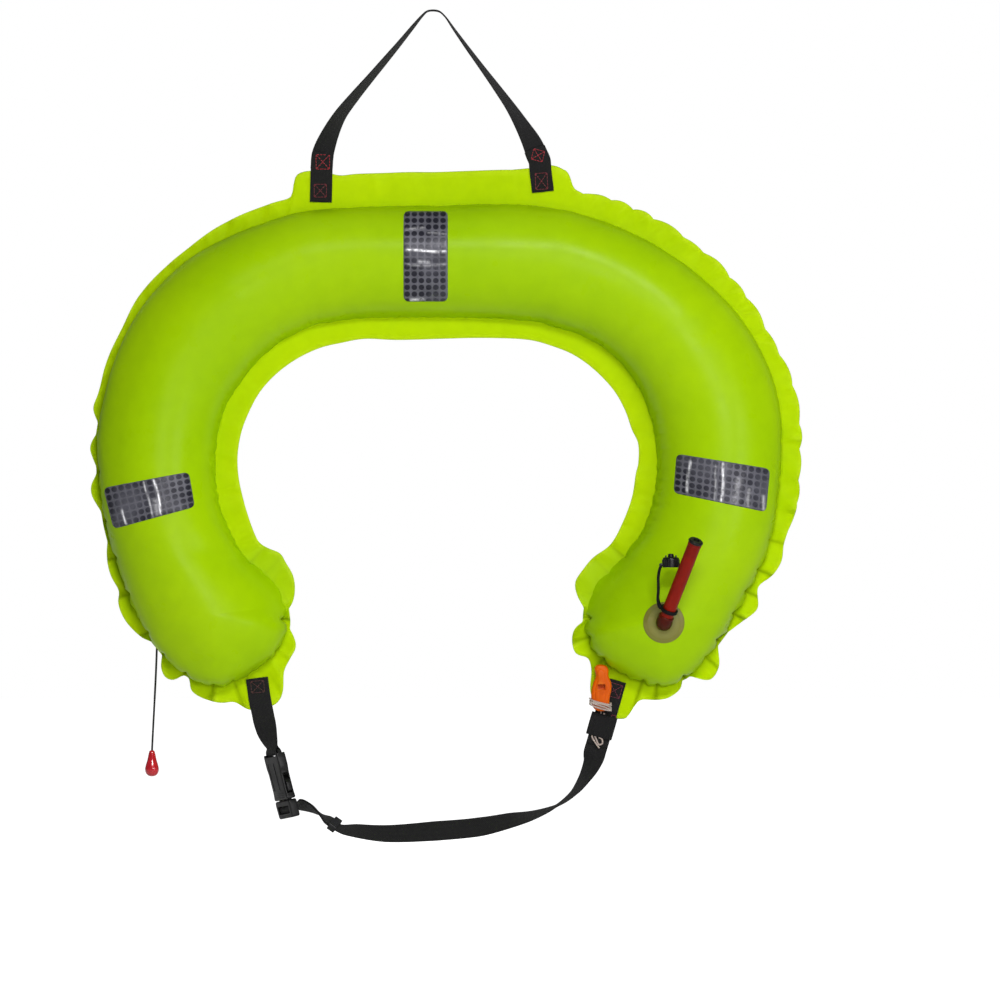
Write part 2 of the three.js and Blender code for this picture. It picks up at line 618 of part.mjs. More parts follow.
const PRONG_OUTLINE = [                  // [x, y] of the +x prong
  [6.6, 59.2], [10.9, 59.2], [10.9, 55], [11.6, 51.2], [15.4, 49.2], [18.6, 47.6], [18.6, 38.5],
  [15.4, 34.5], [11.6, 31.5], [8.4, 30.6], [8.2, 34], [10.6, 40], [9.6, 48], [7.0, 55],
];
for (const [name, side] of [['buckle_prong_left', -1], ['buckle_prong_right', 1]]) {
  const shape = outline(PRONG_OUTLINE.map(([x, y]) => [side * x, y]));
  put(name, prism(shape, -2.7, 2.7), 'buckle', buckle);
}

// ---------------------------------------------------------------- belt, right side
const END_LOOP = [                       // [centre, across]
  [onBuckle(0, 65.4, 3.0), BUCKLE_W.clone().negate()],
  [[-155.5, 4.0, -888.2], unit(-0.32, 0.9, -0.3)],
  [[-148.2, 5.0, -887.9], unit(-0.14, 0.88, -0.45)],
  [[-140.0, 4.6, -890.6], unit(-0.12, 0.93, -0.35)],
  [[-133.0, 4.0, -894.0], unit(-0.1, 0.97, -0.2)],
  [[-126.2, 2.6, -898.6], unit(-0.02, 1, 0)],
  [[-120.6, 1.6, -902.6], unit(0.13, 0.97, 0.17)],
  [[-117.4, 1.1, -904.9], unit(0.2, 0.94, 0.27)],
];
put('belt_end_loop', solid(strip(END_LOOP, WEB, DOUBLED_T)).add(webLoop(PLUG_BAR)), 'web');

const KEEPER_AT = [-110.3, 0.2, -910.0];
const KEEPER_DIR = unit(0.815, -0.05, -0.577);
const KEEPER_W = vec([0.2, 0.94, 0.27]); // then made square to KEEPER_DIR
KEEPER_W.addScaledVector(KEEPER_DIR, -KEEPER_W.dot(KEEPER_DIR)).normalize();
const onKeeper = (distance) => vec(KEEPER_AT).addScaledVector(KEEPER_DIR, distance);

const keeperRing = withWindow(
  rounded(rectangle([-14.6, 14.6], [-4.2, 4.2]), 1.5), [-13.1, 13.1], [-2.6, 2.6],
);
const keeper = frame(KEEPER_W, KEEPER_DIR, KEEPER_AT);
put('belt_keeper', prism(keeperRing, -4.5, 4.5, 2), 'buckle', keeper);

// Folded tab on the right arm's tip: distances along it, across it and in y
const TAB_TOP = [204.4, 0, -748.2];
const TAB_DIR = unit(-0.275, 0, -0.962);
const TAB_W = vec([TAB_DIR.z, 0, -TAB_DIR.x]);
const onTab = (distance, y = 0, across = 0) => vec(TAB_TOP)
  .addScaledVector(TAB_DIR, distance)
  .addScaledVector(TAB_W, across)
  .add(vec([0, y, 0]));

const BELT_SAMPLES = 36;
const BELT_PATH = [                      // point, twist in degrees
  [onKeeper(-8.2), 72], [onKeeper(8), 70], [[-85.6, 0.5, -917.2], 55],
  [[-52.6, 1.5, -920.2], 43], [[2.9, 1.5, -917.3], 31], [[52.6, 1.0, -912.6], 34],
  [[87.4, 0.6, -905.3], 50], [[112.0, 0.3, -899.6], 68], [[138.3, 0, -889.0], 86],
  [[156.8, 0, -875.2], 76], [[170.2, 0, -857.2], 58], [[178.6, 0, -840.5], 36],
  [nearHinge(181.3, -1.1), 2],
];
function beltWebbing() {
  const curve = smooth(BELT_PATH.map(([point]) => point));
  const bays = BELT_PATH.length - 1;
  const stations = [];
  for (let i = 0; i <= BELT_SAMPLES; i++) {
    const share = i / BELT_SAMPLES;
    const bay = Math.min(Math.floor(share * bays), bays - 1);
    const [from, to] = [BELT_PATH[bay][1], BELT_PATH[bay + 1][1]];
    const twist = THREE.MathUtils.lerp(from, to, share * bays - bay);
    stations.push([curve.getPoint(share), turned(curve.getTangent(share), twist)]);
  }
  for (const i of [0, 1, 2]) stations[i][1] = KEEPER_W;      // flat through the keeper
  stations[BELT_SAMPLES][1] = skewed(TAB_W);
  return strip(stations);
}
put('belt_webbing', beltWebbing(), 'web');

const tabUpper = strip([[onTab(0), TAB_W], [onTab(38.5), TAB_W]], WEB, TAB_T);
const tabLower = strip([
  [onTab(37.5), TAB_W], [onTab(60), TAB_W], [nearHinge(182.2, 1.1), skewed(TAB_W)],
], WEB, DOUBLED_T);
put('right_strap_tab', solid(tabUpper).add(solid(tabLower)).subtract(flangeSlab), 'web');

// ---------------------------------------------------------------- whistle on its lanyard
const WHISTLE = [                        // [x, z]
  [180.9, -734.4], [183.7, -731.0], [193.6, -732.0], [196.4, -736.2], [196.4, -743.0],
  [199.6, -751.5], [199.6, -759.4], [197.9, -767.2], [196.2, -780.0], [193.0, -782.4],
  [183.0, -782.0], [179.0, -778.0], [177.2, -770.5], [177.4, -760.5], [179.2, -751.5],
  [182.2, -743.7],
];
put('whistle', cut(
  solid(bevelled(outline(WHISTLE), 6.5, 17.0, 1.6).rotateX(QUARTER_TURN)),
  box([184.6, 192.6], [-13.2, -10.4], [-757, -729]),         // blow-way
  box([184.0, 193.2], [-19, -10.4], [-759, -753.5]),         // sounding window
), 'whistle');

// One turn of cord round the whistle, a squarish loop sloping across x
const WRAP = { centre: [187.6, -11.75, -775.8], halfX: 12.4, halfY: 6.7, slope: -0.16, r: 0.95 };
function lanyardWrap() {
  const squarish = (value) => Math.sign(value) * Math.abs(value) ** 0.6;
  const [x0, y0, z0] = WRAP.centre;
  const points = [];
  for (let i = 0; i < 16; i++) {
    const angle = (i / 16) * 2 * Math.PI;
    const x = squarish(Math.cos(angle)) * WRAP.halfX;
    points.push([x0 + x, y0 + squarish(Math.sin(angle)) * WRAP.halfY, z0 + x * WRAP.slope]);
  }
  return roundAlong(smooth(points, true), WRAP.r, 32, 6);
}
put('lanyard_wrap', lanyardWrap(), 'cord');

const LANYARD = [                        // on the tab: distance, y, across
  [39.5, -3.6, 3.5], [46, -3.6, 4], [60, -3.6, 2], [69, -3.8, 4], [74.5, -4.0, -2.5],
].map((spot) => onTab(...spot));
put('whistle_lanyard', roundAlong(smooth(LANYARD), 1.2, 12, 6), 'cord');

const whistleKeeperRing = withWindow(    // y of its frame points to the back
  rounded(rectangle([-14.2, 15.8], [-6.5, 3.4]), 1.4), [-12.9, 14.4], [-5.3, 2.2],
);
const whistleKeeper = frame(TAB_W, TAB_DIR, onTab(40.5));
put('whistle_keeper', prism(whistleKeeperRing, 0, 26, 2), 'web', whistleKeeper);

// ---------------------------------------------------------------- oral inflation tube
put('oral_valve_flange', cut(
  skin(-1, 0.5, 1.7).intersect(solid(rodAlongY(VALVE_DISC_R, VALVE, -BEYOND, -30, 28))),
  rodAlongY(VALVE_HOLE_R, VALVE, -BEYOND, -30, 20),
), 'disc');

const ELBOW = vec(atDepth(VALVE, -76));
const onTube = (distance) => ELBOW.clone().addScaledVector(TUBE_DIR, distance);

function oralTubeSocket() {              // bent pipe out of the valve disc
  const knee = vec(atDepth(VALVE, -67.5));
  const bend = new THREE.QuadraticBezierCurve3(knee, ELBOW, onTube(8.4));
  const path = [
    atDepth(VALVE, -60.5), atDepth(VALVE, -64),
    ...bend.getPoints(5),
    onTube(9.4),
  ];
  const borePath = [atDepth(VALVE, -58), ...path, onTube(12)];      // runs out at both ends
  const outside = solid(roundAlong(smooth(path), 8.5, 10, 16));
  return cut(outside, roundAlong(smooth(borePath), TUBE_BORE_R, 12, 12));
}
put('oral_tube_socket', oralTubeSocket(), 'tube');

// Tube's own frame: origin at the elbow, z along the tube; profiles are [r, z]
const TUBE_X = new THREE.Vector3().crossVectors(TUBE_DIR, vec([0, -1, 0])).normalize();
const tube = frame(TUBE_X, TUBE_DIR, ELBOW);
const TUBE_PROFILE = [
  [TUBE_BORE_R, 12.1], [6.4, 13.6], [7.2, 15.4], [TUBE_R, TUBE_FULL], [TUBE_R, TUBE_END],
  [TUBE_BORE_R, TUBE_END], [TUBE_BORE_R, 12.1],
];
const MOUTHPIECE_PROFILE = [
  [2.2, 96], [4.8, 96], [4.8, 104.4], [7.8, 104.4], [7.8, 107], [7.2, 108], [3.4, 108],
  [3.4, 98], [2.2, 98], [2.2, 96],
];
const POPPET_PROFILE = [
  [0, 92.8], [4.2, 92.8], [4.2, 95.0], [3.2, 95.6], [1.2, 95.6], [1.2, 105.7], [2.6, 105.7],
  [2.6, 107.4], [0, 107.4],
];
const COLLAR_PROFILE = [
  [7.9, 15.2], [9.7, 15.2], [10, 15.8], [10, 18.1], [9.7, 18.7], [7.9, 18.7], [7.9, 15.2],
];
put('oral_tube', lathe(TUBE_PROFILE, 20), 'tube', tube);
put('oral_mouthpiece', lathe(MOUTHPIECE_PROFILE, 20), 'rubber', tube);
put('valve_poppet', lathe(POPPET_PROFILE, 14), 'rubber', tube);
put('valve_spring', coil(2.15, 0.35, 98.4, 105.4, 4), 'steel', tube);
put('tether_collar', lathe(COLLAR_PROFILE, 20), 'rubber', tube);

const TETHER_ROOT = onTube(17).addScaledVector(TUBE_X, -12.0);      // beside the collar
const fromRoot = (x, y, z) => TETHER_ROOT.clone().add(vec([x, y, z]));
put('cap_tether', strip([
  [fromRoot(1.3, 0, -0.8), unit(0.25, 0.6, 0.75)],
  [fromRoot(-1.2, -1.5, 7), unit(0, 0.9, 0.3)],
  [[251.2, -87.5, -645], unit(0, 1, 0.1)],
  [[251.0, -89.5, -633], unit(0, 1, 0)],
  [[252.6, -91.2, -624.5], unit(0, 1, 0)],
  [[254.3, -92, -618.5], unit(0, 1, 0)],
], 5.4, 1.8), 'rubber');

const CAP_AT = [265, -92, -621.5];
const CAP_PROFILE = [                    // [r, z] from CAP_AT
  [0, 8.5], [7.9, 8.5], [7.9, 0], [9.3, 0], [9.3, 10.2], [8.6, 11], [3.3, 11], [3.0, 15.2],
  [0, 15.2],
];
put('oral_cap', lathe(CAP_PROFILE, 20).translate(...CAP_AT), 'rubber');

// ---------------------------------------------------------------- inflator on the back
// Its own frame: x across the arm (down and to the left), y along the arm, z out of the back
const ACROSS = unit(-ARM_DIR.z, 0, ARM_DIR.x);
const inflator = frame(ACROSS, unit(0, 1, 0), INFLATOR);
const BODY_HALF = 14.5;
const STEM = [-12, 8];                   // [x, y] of the manifold stem
const LEVER_PIVOT = [0, -26];            // [x, y]
const CORD_EYE = [30, 19.5];             // [x, y] of the lever's cord hole

const rodAlongZ = (r, [x, y], half, sides) => rod(r, [x, y, -half], [x, y, half], sides);
const rodUpAxis = (r, y0, y1, sides) => rod(r, [0, y0, 0], [0, y1, 0], sides);

const manifoldRod = (r, y0, y1, sides, endR) => rodAlongY(r, MANIFOLD, y0, y1, sides, endR);
put('manifold_flange', cut(
  skin(1, 0.5, 1.8)
    .intersect(solid(manifoldRod(30, 30, 90, 28)))
    .add(solid(manifoldRod(12, 64.3, 71.0, 24))),
  manifoldRod(MANIFOLD_HOLE_R, 30, 90, 16),
), 'disc');
put('manifold_gasket', cut(
  solid(manifoldRod(8.6, 71.3, 72.3, 20)),
  manifoldRod(MANIFOLD_HOLE_R, 70, 74, 16),
), 'rubber');

const crossHoleEnd = (distance) =>
  vec(atDepth(MANIFOLD, INFLATOR.y)).addScaledVector(ACROSS, distance);
put('manifold_stem', cut(
  solid(manifoldRod(4.6, 60, 105, 16)),
  manifoldRod(1.6, 59, 88.6, 10),                            // hole up the stem
  rod(1.2, crossHoleEnd(8), crossHoleEnd(-8), 10),           // hole across it
), 'brass');
put('retaining_nut', cut(
  solid(manifoldRod(10.4, 102.0, 108.6, 6)).add(solid(manifoldRod(7.6, 108.0, 111.4, 18, 5.4))),
  manifoldRod(5.0, 101, 106.0, 16),
), 'brass');

const BODY_OUTLINE = [                   // [x, y]
  [-20, -36], [-12, -40], [12, -40], [17, -34], [17, 22], [13, 30], [-14, 30], [-20, 24],
];
put('inflator_body', cut(
  solid(bevelled(rounded(BODY_OUTLINE, 3.2), -BODY_HALF, BODY_HALF, 2.2, 3)),
  box([-30, 30], [-50, -11.2], [-3.6, 3.6]),                 // slot for the lever
  rodAlongZ(2.4, LEVER_PIVOT, 20, 14),                       // pin holes
  rodUpAxis(4.5, -20, 4, 16),                                // spring chamber
  rodUpAxis(1.9, 0, 20, 12),                                 // pin guide
  rodUpAxis(6.7, 12, 40, 20),                                // mouth for the cylinder
  rodAlongZ(4.95, STEM, 20, 16),
  rod(1.1, [0, STEM[1], 0], [...STEM, 0], 10),               // gas way from guide to stem
), 'body', inflator);
put('lever_pin', rodAlongZ(2.05, LEVER_PIVOT, 14, 14), 'steel', inflator);

// Cam degrees run from +y towards -x; it rises evenly, then falls back
const CAM = { start: -110, sweep: 250, steps: 24, r: 8, rise: 6, riseOver: 100, fallOver: 40 };
const LEVER_ARM = [                      // [x, y]
  [-2, -34], [16, -34], [24.5, -27], [26, 10], [34.6, 15.5], [34.6, 24], [25.5, 24],
  [19.8, 13], [18.4, -19], [6, -22], [-2, -23],
];
function camRise(degrees) {
  if (degrees < 0) return 0;
  if (degrees < CAM.riseOver) return CAM.rise * (degrees / CAM.riseOver);
  return CAM.rise * Math.max(0, 1 - (degrees - CAM.riseOver) / CAM.fallOver);
}
function firingLever() {
  const cam = [];
  for (let i = 0; i <= CAM.steps; i++) {
    const degrees = CAM.start + (i / CAM.steps) * CAM.sweep;
    const r = CAM.r + camRise(degrees);
    const angle = radians(90 + degrees);
    cam.push([LEVER_PIVOT[0] + r * Math.cos(angle), LEVER_PIVOT[1] + r * Math.sin(angle)]);
  }
  return cut(
    solid(prism(outline(cam), -3.0, 3.0)).add(solid(prism(rounded(LEVER_ARM, 2.2), -2.5, 2.5))),
    rodAlongZ(2.35, LEVER_PIVOT, 8, 14),
    rodAlongZ(2.1, CORD_EYE, 8, 12),
  );
}
put('firing_lever', firingLever(), 'lever', inflator);

// Turned parts on the inflator's y axis, profiles [r, y]
const PIN_PROFILE = [
  [0, -17.1], [3.0, -17.1], [3.0, -15.2], [1.5, -15.2], [1.5, 11.5], [0.5, 14], [0, 14],
];
const SEAL_PROFILE = [[3.2, 12.3], [6.3, 12.3], [6.3, 14.2], [3.2, 14.2], [3.2, 12.3]];
const CYLINDER_PROFILE = [               // inside from the far end to the neck, then outside
  [0, 148.2], [5.0, 147.4], [9.8, 144.8], [12.8, 141], [13.9, 135.5], [13.8, 47], [11.6, 41.5],
  [6.4, 36.8], [2.3, 34], [2.3, 14.6], [6.3, 14.6], [6.3, 31], [8.0, 34.5], [13.2, 39.5],
  [15.6, 46], [15.8, 136], [14.6, 142.5], [11, 147], [5.5, 149.4], [0, 150],
];
put('piercing_pin', latheY(PIN_PROFILE, 12), 'steel', inflator);
put('pin_spring', coil(3.2, 0.4, -14.9, 3.7, 5).rotateX(-QUARTER_TURN), 'steel', inflator);
put('cylinder_seal', latheY(SEAL_PROFILE, 18), 'rubber', inflator);
put('gas_cylinder', latheY(CYLINDER_PROFILE, 24), 'gas', inflator);

// ---------------------------------------------------------------- pull cord and bead
const EYE_AT = INFLATOR.clone()          // the lever's cord hole
  .addScaledVector(ACROSS, CORD_EYE[0])
  .addScaledVector(ARM_DIR, CORD_EYE[1]);
const BEAD_TOP = [-317.6, INFLATOR.y, -828.8];
const BEAD_PROFILE = [                   // [r, z] from BEAD_TOP
  [1.4, 0], [3.0, -0.6], [4.0, -5], [5.4, -11], [7.4, -18], [7.8, -21.5], [7.0, -25.5],
  [4.4, -28.6], [0, -29.7], [0, -3.2], [1.4, -3.2], [1.4, 0],
];
function pullCord() {
  const eye = new THREE.TorusGeometry(5, 0.9, 6, 20)
    .rotateY(QUARTER_TURN)
    .translate(EYE_AT.x, EYE_AT.y, EYE_AT.z - 4.4);
  const line = smooth([
    [EYE_AT.x, EYE_AT.y, EYE_AT.z - 9.3],
    [-312, EYE_AT.y, -710],
    [BEAD_TOP[0], EYE_AT.y, BEAD_TOP[2] - 2.2],
  ]);
  return solid(eye).add(solid(roundAlong(line, 1.05, 8, 6)));
}
put('pull_cord', pullCord(), 'rubber');
put('pull_bead', lathe(BEAD_PROFILE, 18).translate(...BEAD_TOP), 'bead');

export default group;
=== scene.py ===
"""Inflatable horseshoe rescue buoy: the looks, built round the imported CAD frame.

The flat bladder stands upright in the XZ plane with its arms hanging down: front towards -Y,
left at -X, up at +Z. A belt with a buckle joins the two arms and a lifting strap arches over the
top. The oral tube is on the front of the right arm, the gas inflator on the back of the left arm.
Shapes are given in millimetres and become metres in new_part, prism, frame_of and shift; the
floor, lights and camera are given in metres.
"""
import math
import bmesh
import bpy
import numpy as np
from mathutils import Matrix, Vector
from mathutils.bvhtree import BVHTree


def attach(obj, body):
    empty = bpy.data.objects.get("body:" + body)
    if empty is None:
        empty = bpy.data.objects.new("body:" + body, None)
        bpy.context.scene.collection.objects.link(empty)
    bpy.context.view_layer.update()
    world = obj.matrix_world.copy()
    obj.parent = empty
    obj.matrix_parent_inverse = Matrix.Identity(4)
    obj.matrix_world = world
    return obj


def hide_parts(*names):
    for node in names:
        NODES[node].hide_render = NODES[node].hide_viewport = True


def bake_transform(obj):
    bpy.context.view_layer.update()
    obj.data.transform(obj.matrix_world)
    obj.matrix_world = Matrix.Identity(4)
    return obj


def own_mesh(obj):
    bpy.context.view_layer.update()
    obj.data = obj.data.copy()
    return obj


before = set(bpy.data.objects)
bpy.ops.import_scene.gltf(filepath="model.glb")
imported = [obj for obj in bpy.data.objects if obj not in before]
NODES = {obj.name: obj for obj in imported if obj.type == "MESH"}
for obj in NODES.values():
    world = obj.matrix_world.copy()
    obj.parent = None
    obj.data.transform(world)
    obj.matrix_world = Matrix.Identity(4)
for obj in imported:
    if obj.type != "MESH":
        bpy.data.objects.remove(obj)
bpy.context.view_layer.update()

MM = 0.001
scene = bpy.context.scene


# ------------------------------------------------------------------ points and curves
def table(text):
    """Rows of numbers: commas between rows, spaces between columns."""
    return np.array([row.split() for row in text.split(",")], float)


def unit(a):
    a = np.asarray(a, float)
    return a / np.linalg.norm(a, axis=-1, keepdims=True)


def path_length(points):
    """Distance along the points, from the first to each one."""
    return np.r_[0, np.cumsum(np.linalg.norm(np.diff(points, axis=0), axis=1))]


def interp_rows(at, known, rows):
    return np.stack([np.interp(at, known, rows[:, k]) for k in range(rows.shape[1])], 1)


def catmull(points, per=8, closed=False):
    """Centripetal Catmull-Rom curve, with `per` points to each span."""
    p = np.asarray(points, float)
    if closed:
        ext = np.vstack([p[-1], p, p[0], p[1]])
    else:
        ext = np.vstack([2 * p[0] - p[1], p, 2 * p[-1] - p[-2]])
    out = []
    for i in range(len(ext) - 3):
        p0, p1, p2, p3 = ext[i:i + 4]
        gaps = np.linalg.norm(np.diff(ext[i:i + 4], axis=0), axis=1)
        t0, t1, t2, t3 = np.r_[0, np.cumsum(np.maximum(gaps, 1e-6) ** 0.5)]
        t = t1 + (t2 - t1) * np.arange(per)[:, None] / per

        def between(a, b, start, end):
            return (end - t) / (end - start) * a + (t - start) / (end - start) * b

        a1, a2, a3 = between(p0, p1, t0, t1), between(p1, p2, t1, t2), between(p2, p3, t2, t3)
        out.append(between(between(a1, a2, t0, t2), between(a2, a3, t1, t3), t1, t2))
    if not closed:
        out.append(p[-1:])
    return np.vstack(out)


def resample(points, step=None, count=None, closed=False):
    """Evenly spaced points, about `step` apart or `count` in all."""
    p = np.asarray(points, float)
    if closed:
        p = np.vstack([p, p[0]])
    along = path_length(p)
    if count is None:
        count = max(2, int(round(along[-1] / step)) + 1)
    if closed:
        at = np.linspace(0, along[-1], count + 1)[:-1]
    else:
        at = np.linspace(0, along[-1], count)
    return interp_rows(at, along, p)


def bezier(start, corner, end, t):
    return (1 - t) ** 2 * start + 2 * t * (1 - t) * corner + t * t * end


def rounded(points, radius, steps=5, closed=True):
    """Rounds the corners of an outline, or of an open [r, z] profile off its axis."""
    out = []
    count = len(points)
    for i, p in enumerate(points):
        p = np.array(p, float)
        if not closed and (i in (0, count - 1) or p[0] < 1e-6):
            out.append(tuple(p))
            continue
        before = np.array(points[i - 1], float)
        after = np.array(points[(i + 1) % count], float)
        reach = min(radius, 0.45 * np.linalg.norm(before - p), 0.45 * np.linalg.norm(after - p))
        if reach < 0.05:
            out.append(tuple(p))
            continue
        start, end = p + unit(before - p) * reach, p + unit(after - p) * reach
        out += [tuple(bezier(start, p, end, s / steps)) for s in range(steps + 1)]
    return out


def smooth_closed(values, sigma):
    """Gaussian blur of values round a loop."""
    k = np.arange(-int(4 * sigma) - 1, int(4 * sigma) + 2)
    w = np.exp(-0.5 * (k / sigma) ** 2)
    w /= w.sum()
    return sum(np.roll(values, s, 0) * f for s, f in zip(k, w))


def smooth_open(values, sigma, reach):
    """Gaussian blur of a row of values, with its end values carried on."""
    w = np.exp(-0.5 * (np.arange(-reach, reach + 1) / sigma) ** 2)
    return np.convolve(np.pad(values, reach, mode="edge"), w / w.sum(), "valid")


# ------------------------------------------------------------------ mesh helpers
def band(start_a, start_b, count):
    """Quads between two rings of `count` vertices."""
    return [[start_a + k, start_a + (k + 1) % count, start_b + (k + 1) % count, start_b + k]
            for k in range(count)]


def fan(start, count, tip):
    return [[start + k, start + (k + 1) % count, tip] for k in range(count)]


def new_part(verts, faces, material=None, uv=None):
    """Smooth-shaded object with its faces turned outwards; it gets its name in finish."""
    mesh = bpy.data.meshes.new("part")
    mesh.from_pydata([[float(c) * MM for c in v] for v in verts], [],
                     [list(map(int, f)) for f in faces])
    mesh.validate(clean_customdata=False)
    mesh.update()
    obj = bpy.data.objects.new("part", mesh)
    scene.collection.objects.link(obj)
    mesh.polygons.foreach_set("use_smooth", [True] * len(mesh.polygons))
    if uv is not None:
        layer = mesh.uv_layers.new(name="UVMap")
        corner = np.empty(len(mesh.loops), dtype=np.int32)
        mesh.loops.foreach_get("vertex_index", corner)
        layer.data.foreach_set("uv", np.asarray(uv, dtype=np.float32)[corner].ravel())
    if material is not None:
        mesh.materials.append(material)
    bm = bmesh.new()
    bm.from_mesh(mesh)
    bmesh.ops.recalc_face_normals(bm, faces=bm.faces)
    if bm.calc_volume(signed=True) < 0:
        bmesh.ops.reverse_faces(bm, faces=bm.faces)
    bm.to_mesh(mesh)
    bm.free()
    return obj


def set_attribute(obj, name, values):
    attribute = obj.data.attributes.new(name, "FLOAT", "POINT")
    attribute.data.foreach_set("value", np.asarray(values, np.float32))


def select_only(objs):
    bpy.ops.object.select_all(action="DESELECT")
    for obj in objs:
        obj.select_set(True)
    bpy.context.view_layer.objects.active = objs[0]


def join(objs):
    select_only(objs)
    bpy.ops.object.join()
    return objs[0]


def sharp_by_angle(obj, degrees):
    select_only([obj])
    bpy.ops.object.shade_smooth_by_angle(angle=math.radians(degrees))


def apply_modifiers(obj):
    deps = bpy.context.evaluated_depsgraph_get()
    mesh = bpy.data.meshes.new_from_object(obj.evaluated_get(deps),
                                           preserve_all_data_layers=True, depsgraph=deps)
    old = obj.data
    obj.modifiers.clear()
    obj.data = mesh
    bpy.data.meshes.remove(old)


def combine(obj, others, operation):
    """Boolean of obj with each of the others, which are removed."""
    for other in others:
        modifier = obj.modifiers.new("combine", "BOOLEAN")
        modifier.operation = operation
        modifier.solver = "EXACT"
        modifier.object = other
    apply_modifiers(obj)
    for other in others:
        bpy.data.objects.remove(other)
    return obj


def cut(obj, tools):
    return combine(obj, tools, "DIFFERENCE")


def fuse(obj, others):
    return combine(obj, others, "UNION")


def frame_of(x_axis, y_axis, z_axis, at):
    m = np.eye(4)
    m[:3, :3] = np.column_stack([x_axis, y_axis, z_axis])
    m[:3, 3] = np.asarray(at, float) * MM
    return Matrix(m.tolist())


def shift(x, y, z):
    return Matrix.Translation((x * MM, y * MM, z * MM))


def place(obj, matrix):
    obj.data.transform(matrix)
    obj.data.update()
    return obj


def dress(obj, material, matrix, sharp=None):
    """Gives a modelled piece its one material, its sharp edges and its place."""
    obj.data.materials.clear()
    obj.data.materials.append(material)
    if sharp is not None:
        sharp_by_angle(obj, sharp)
    return place(obj, matrix)


def finish(obj, name, rides=None, replaces=()):
    """Names a piece and tells the frame what it is, moves with and stands in for."""
    obj.name = name
    obj.data.name = name
    if replaces:
        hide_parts(*replaces)
    if rides:
        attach(obj, rides)
    return obj


def lathe(profile, sides=56, material=None, matrix=None, soften=None, steps=4):
    """Turns a [r, z] profile about local z; `soften` rounds its corners."""
    if soften:
        profile = rounded(profile, soften, steps, closed=False)
    verts, faces, rings = [], [], []
    for r, z in profile:
        if r < 1e-6:
            rings.append([len(verts)] * sides)
            verts.append((0, 0, z))
            continue
        rings.append(list(range(len(verts), len(verts) + sides)))
        for i in range(sides):
            t = 2 * math.pi * i / sides
            verts.append((r * math.cos(t), r * math.sin(t), z))
    for a, b in zip(rings, rings[1:]):
        for i in range(sides):
            j = (i + 1) % sides
            face = [a[i], a[j], b[j], b[i]]
            face = [v for q, v in enumerate(face) if v != face[q - 1]]
            if len(set(face)) >= 3:
                faces.append(face)
    obj = new_part(verts, faces, material)
    sharp_by_angle(obj, 38)
    if matrix is not None:
        place(obj, matrix)
    return obj


def rod(radius, start, end, matrix=None):
    return lathe([[0, start], [radius, start], [radius, end], [0, end]], 40, None, matrix)


def tube(points, radius, sides, material, closed=False):
    """Round tube along dense points; radius is one number or one for each point."""
    p = np.asarray(points, float)
    n = len(p)
    radii = np.full(n, radius, float)
    tangent = unit(np.roll(p, -1, 0) - np.roll(p, 1, 0) if closed else np.gradient(p, axis=0))
    reference = np.array([0, 1.0, 0]) if abs(tangent[0][1]) < 0.9 else np.array([1.0, 0, 0])
    normal = np.empty_like(p)
    current = unit(reference - tangent[0] * np.dot(reference, tangent[0]))
    for i in range(n):
        current = unit(current - tangent[i] * np.dot(current, tangent[i]))
        normal[i] = current
    if closed:  # share out the twist that is left after one turn
        first = tangent[0]
        last = unit(normal[-1] - first * np.dot(normal[-1], first))
        twist = math.atan2(np.dot(np.cross(last, normal[0]), first), np.dot(last, normal[0]))
        for i in range(n):
            a = twist * i / n
            binormal = np.cross(tangent[i], normal[i])
            normal[i] = normal[i] * math.cos(a) + binormal * math.sin(a)
    verts, faces = [], []
    for i in range(n):
        binormal = np.cross(tangent[i], normal[i])
        for k in range(sides):
            t = 2 * math.pi * k / sides
            verts.append(p[i] + radii[i] * (normal[i] * math.cos(t) + binormal * math.sin(t)))
    for i in range(n if closed else n - 1):
        faces += band(i * sides, (i + 1) % n * sides, sides)
    if not closed:
        for i, way in ((0, -1), (n - 1, 1)):
            verts.append(p[i] + tangent[i] * way * radii[i] * 0.45)
            faces += fan(i * sides, sides, len(verts) - 1)
    return new_part(verts, faces, material)


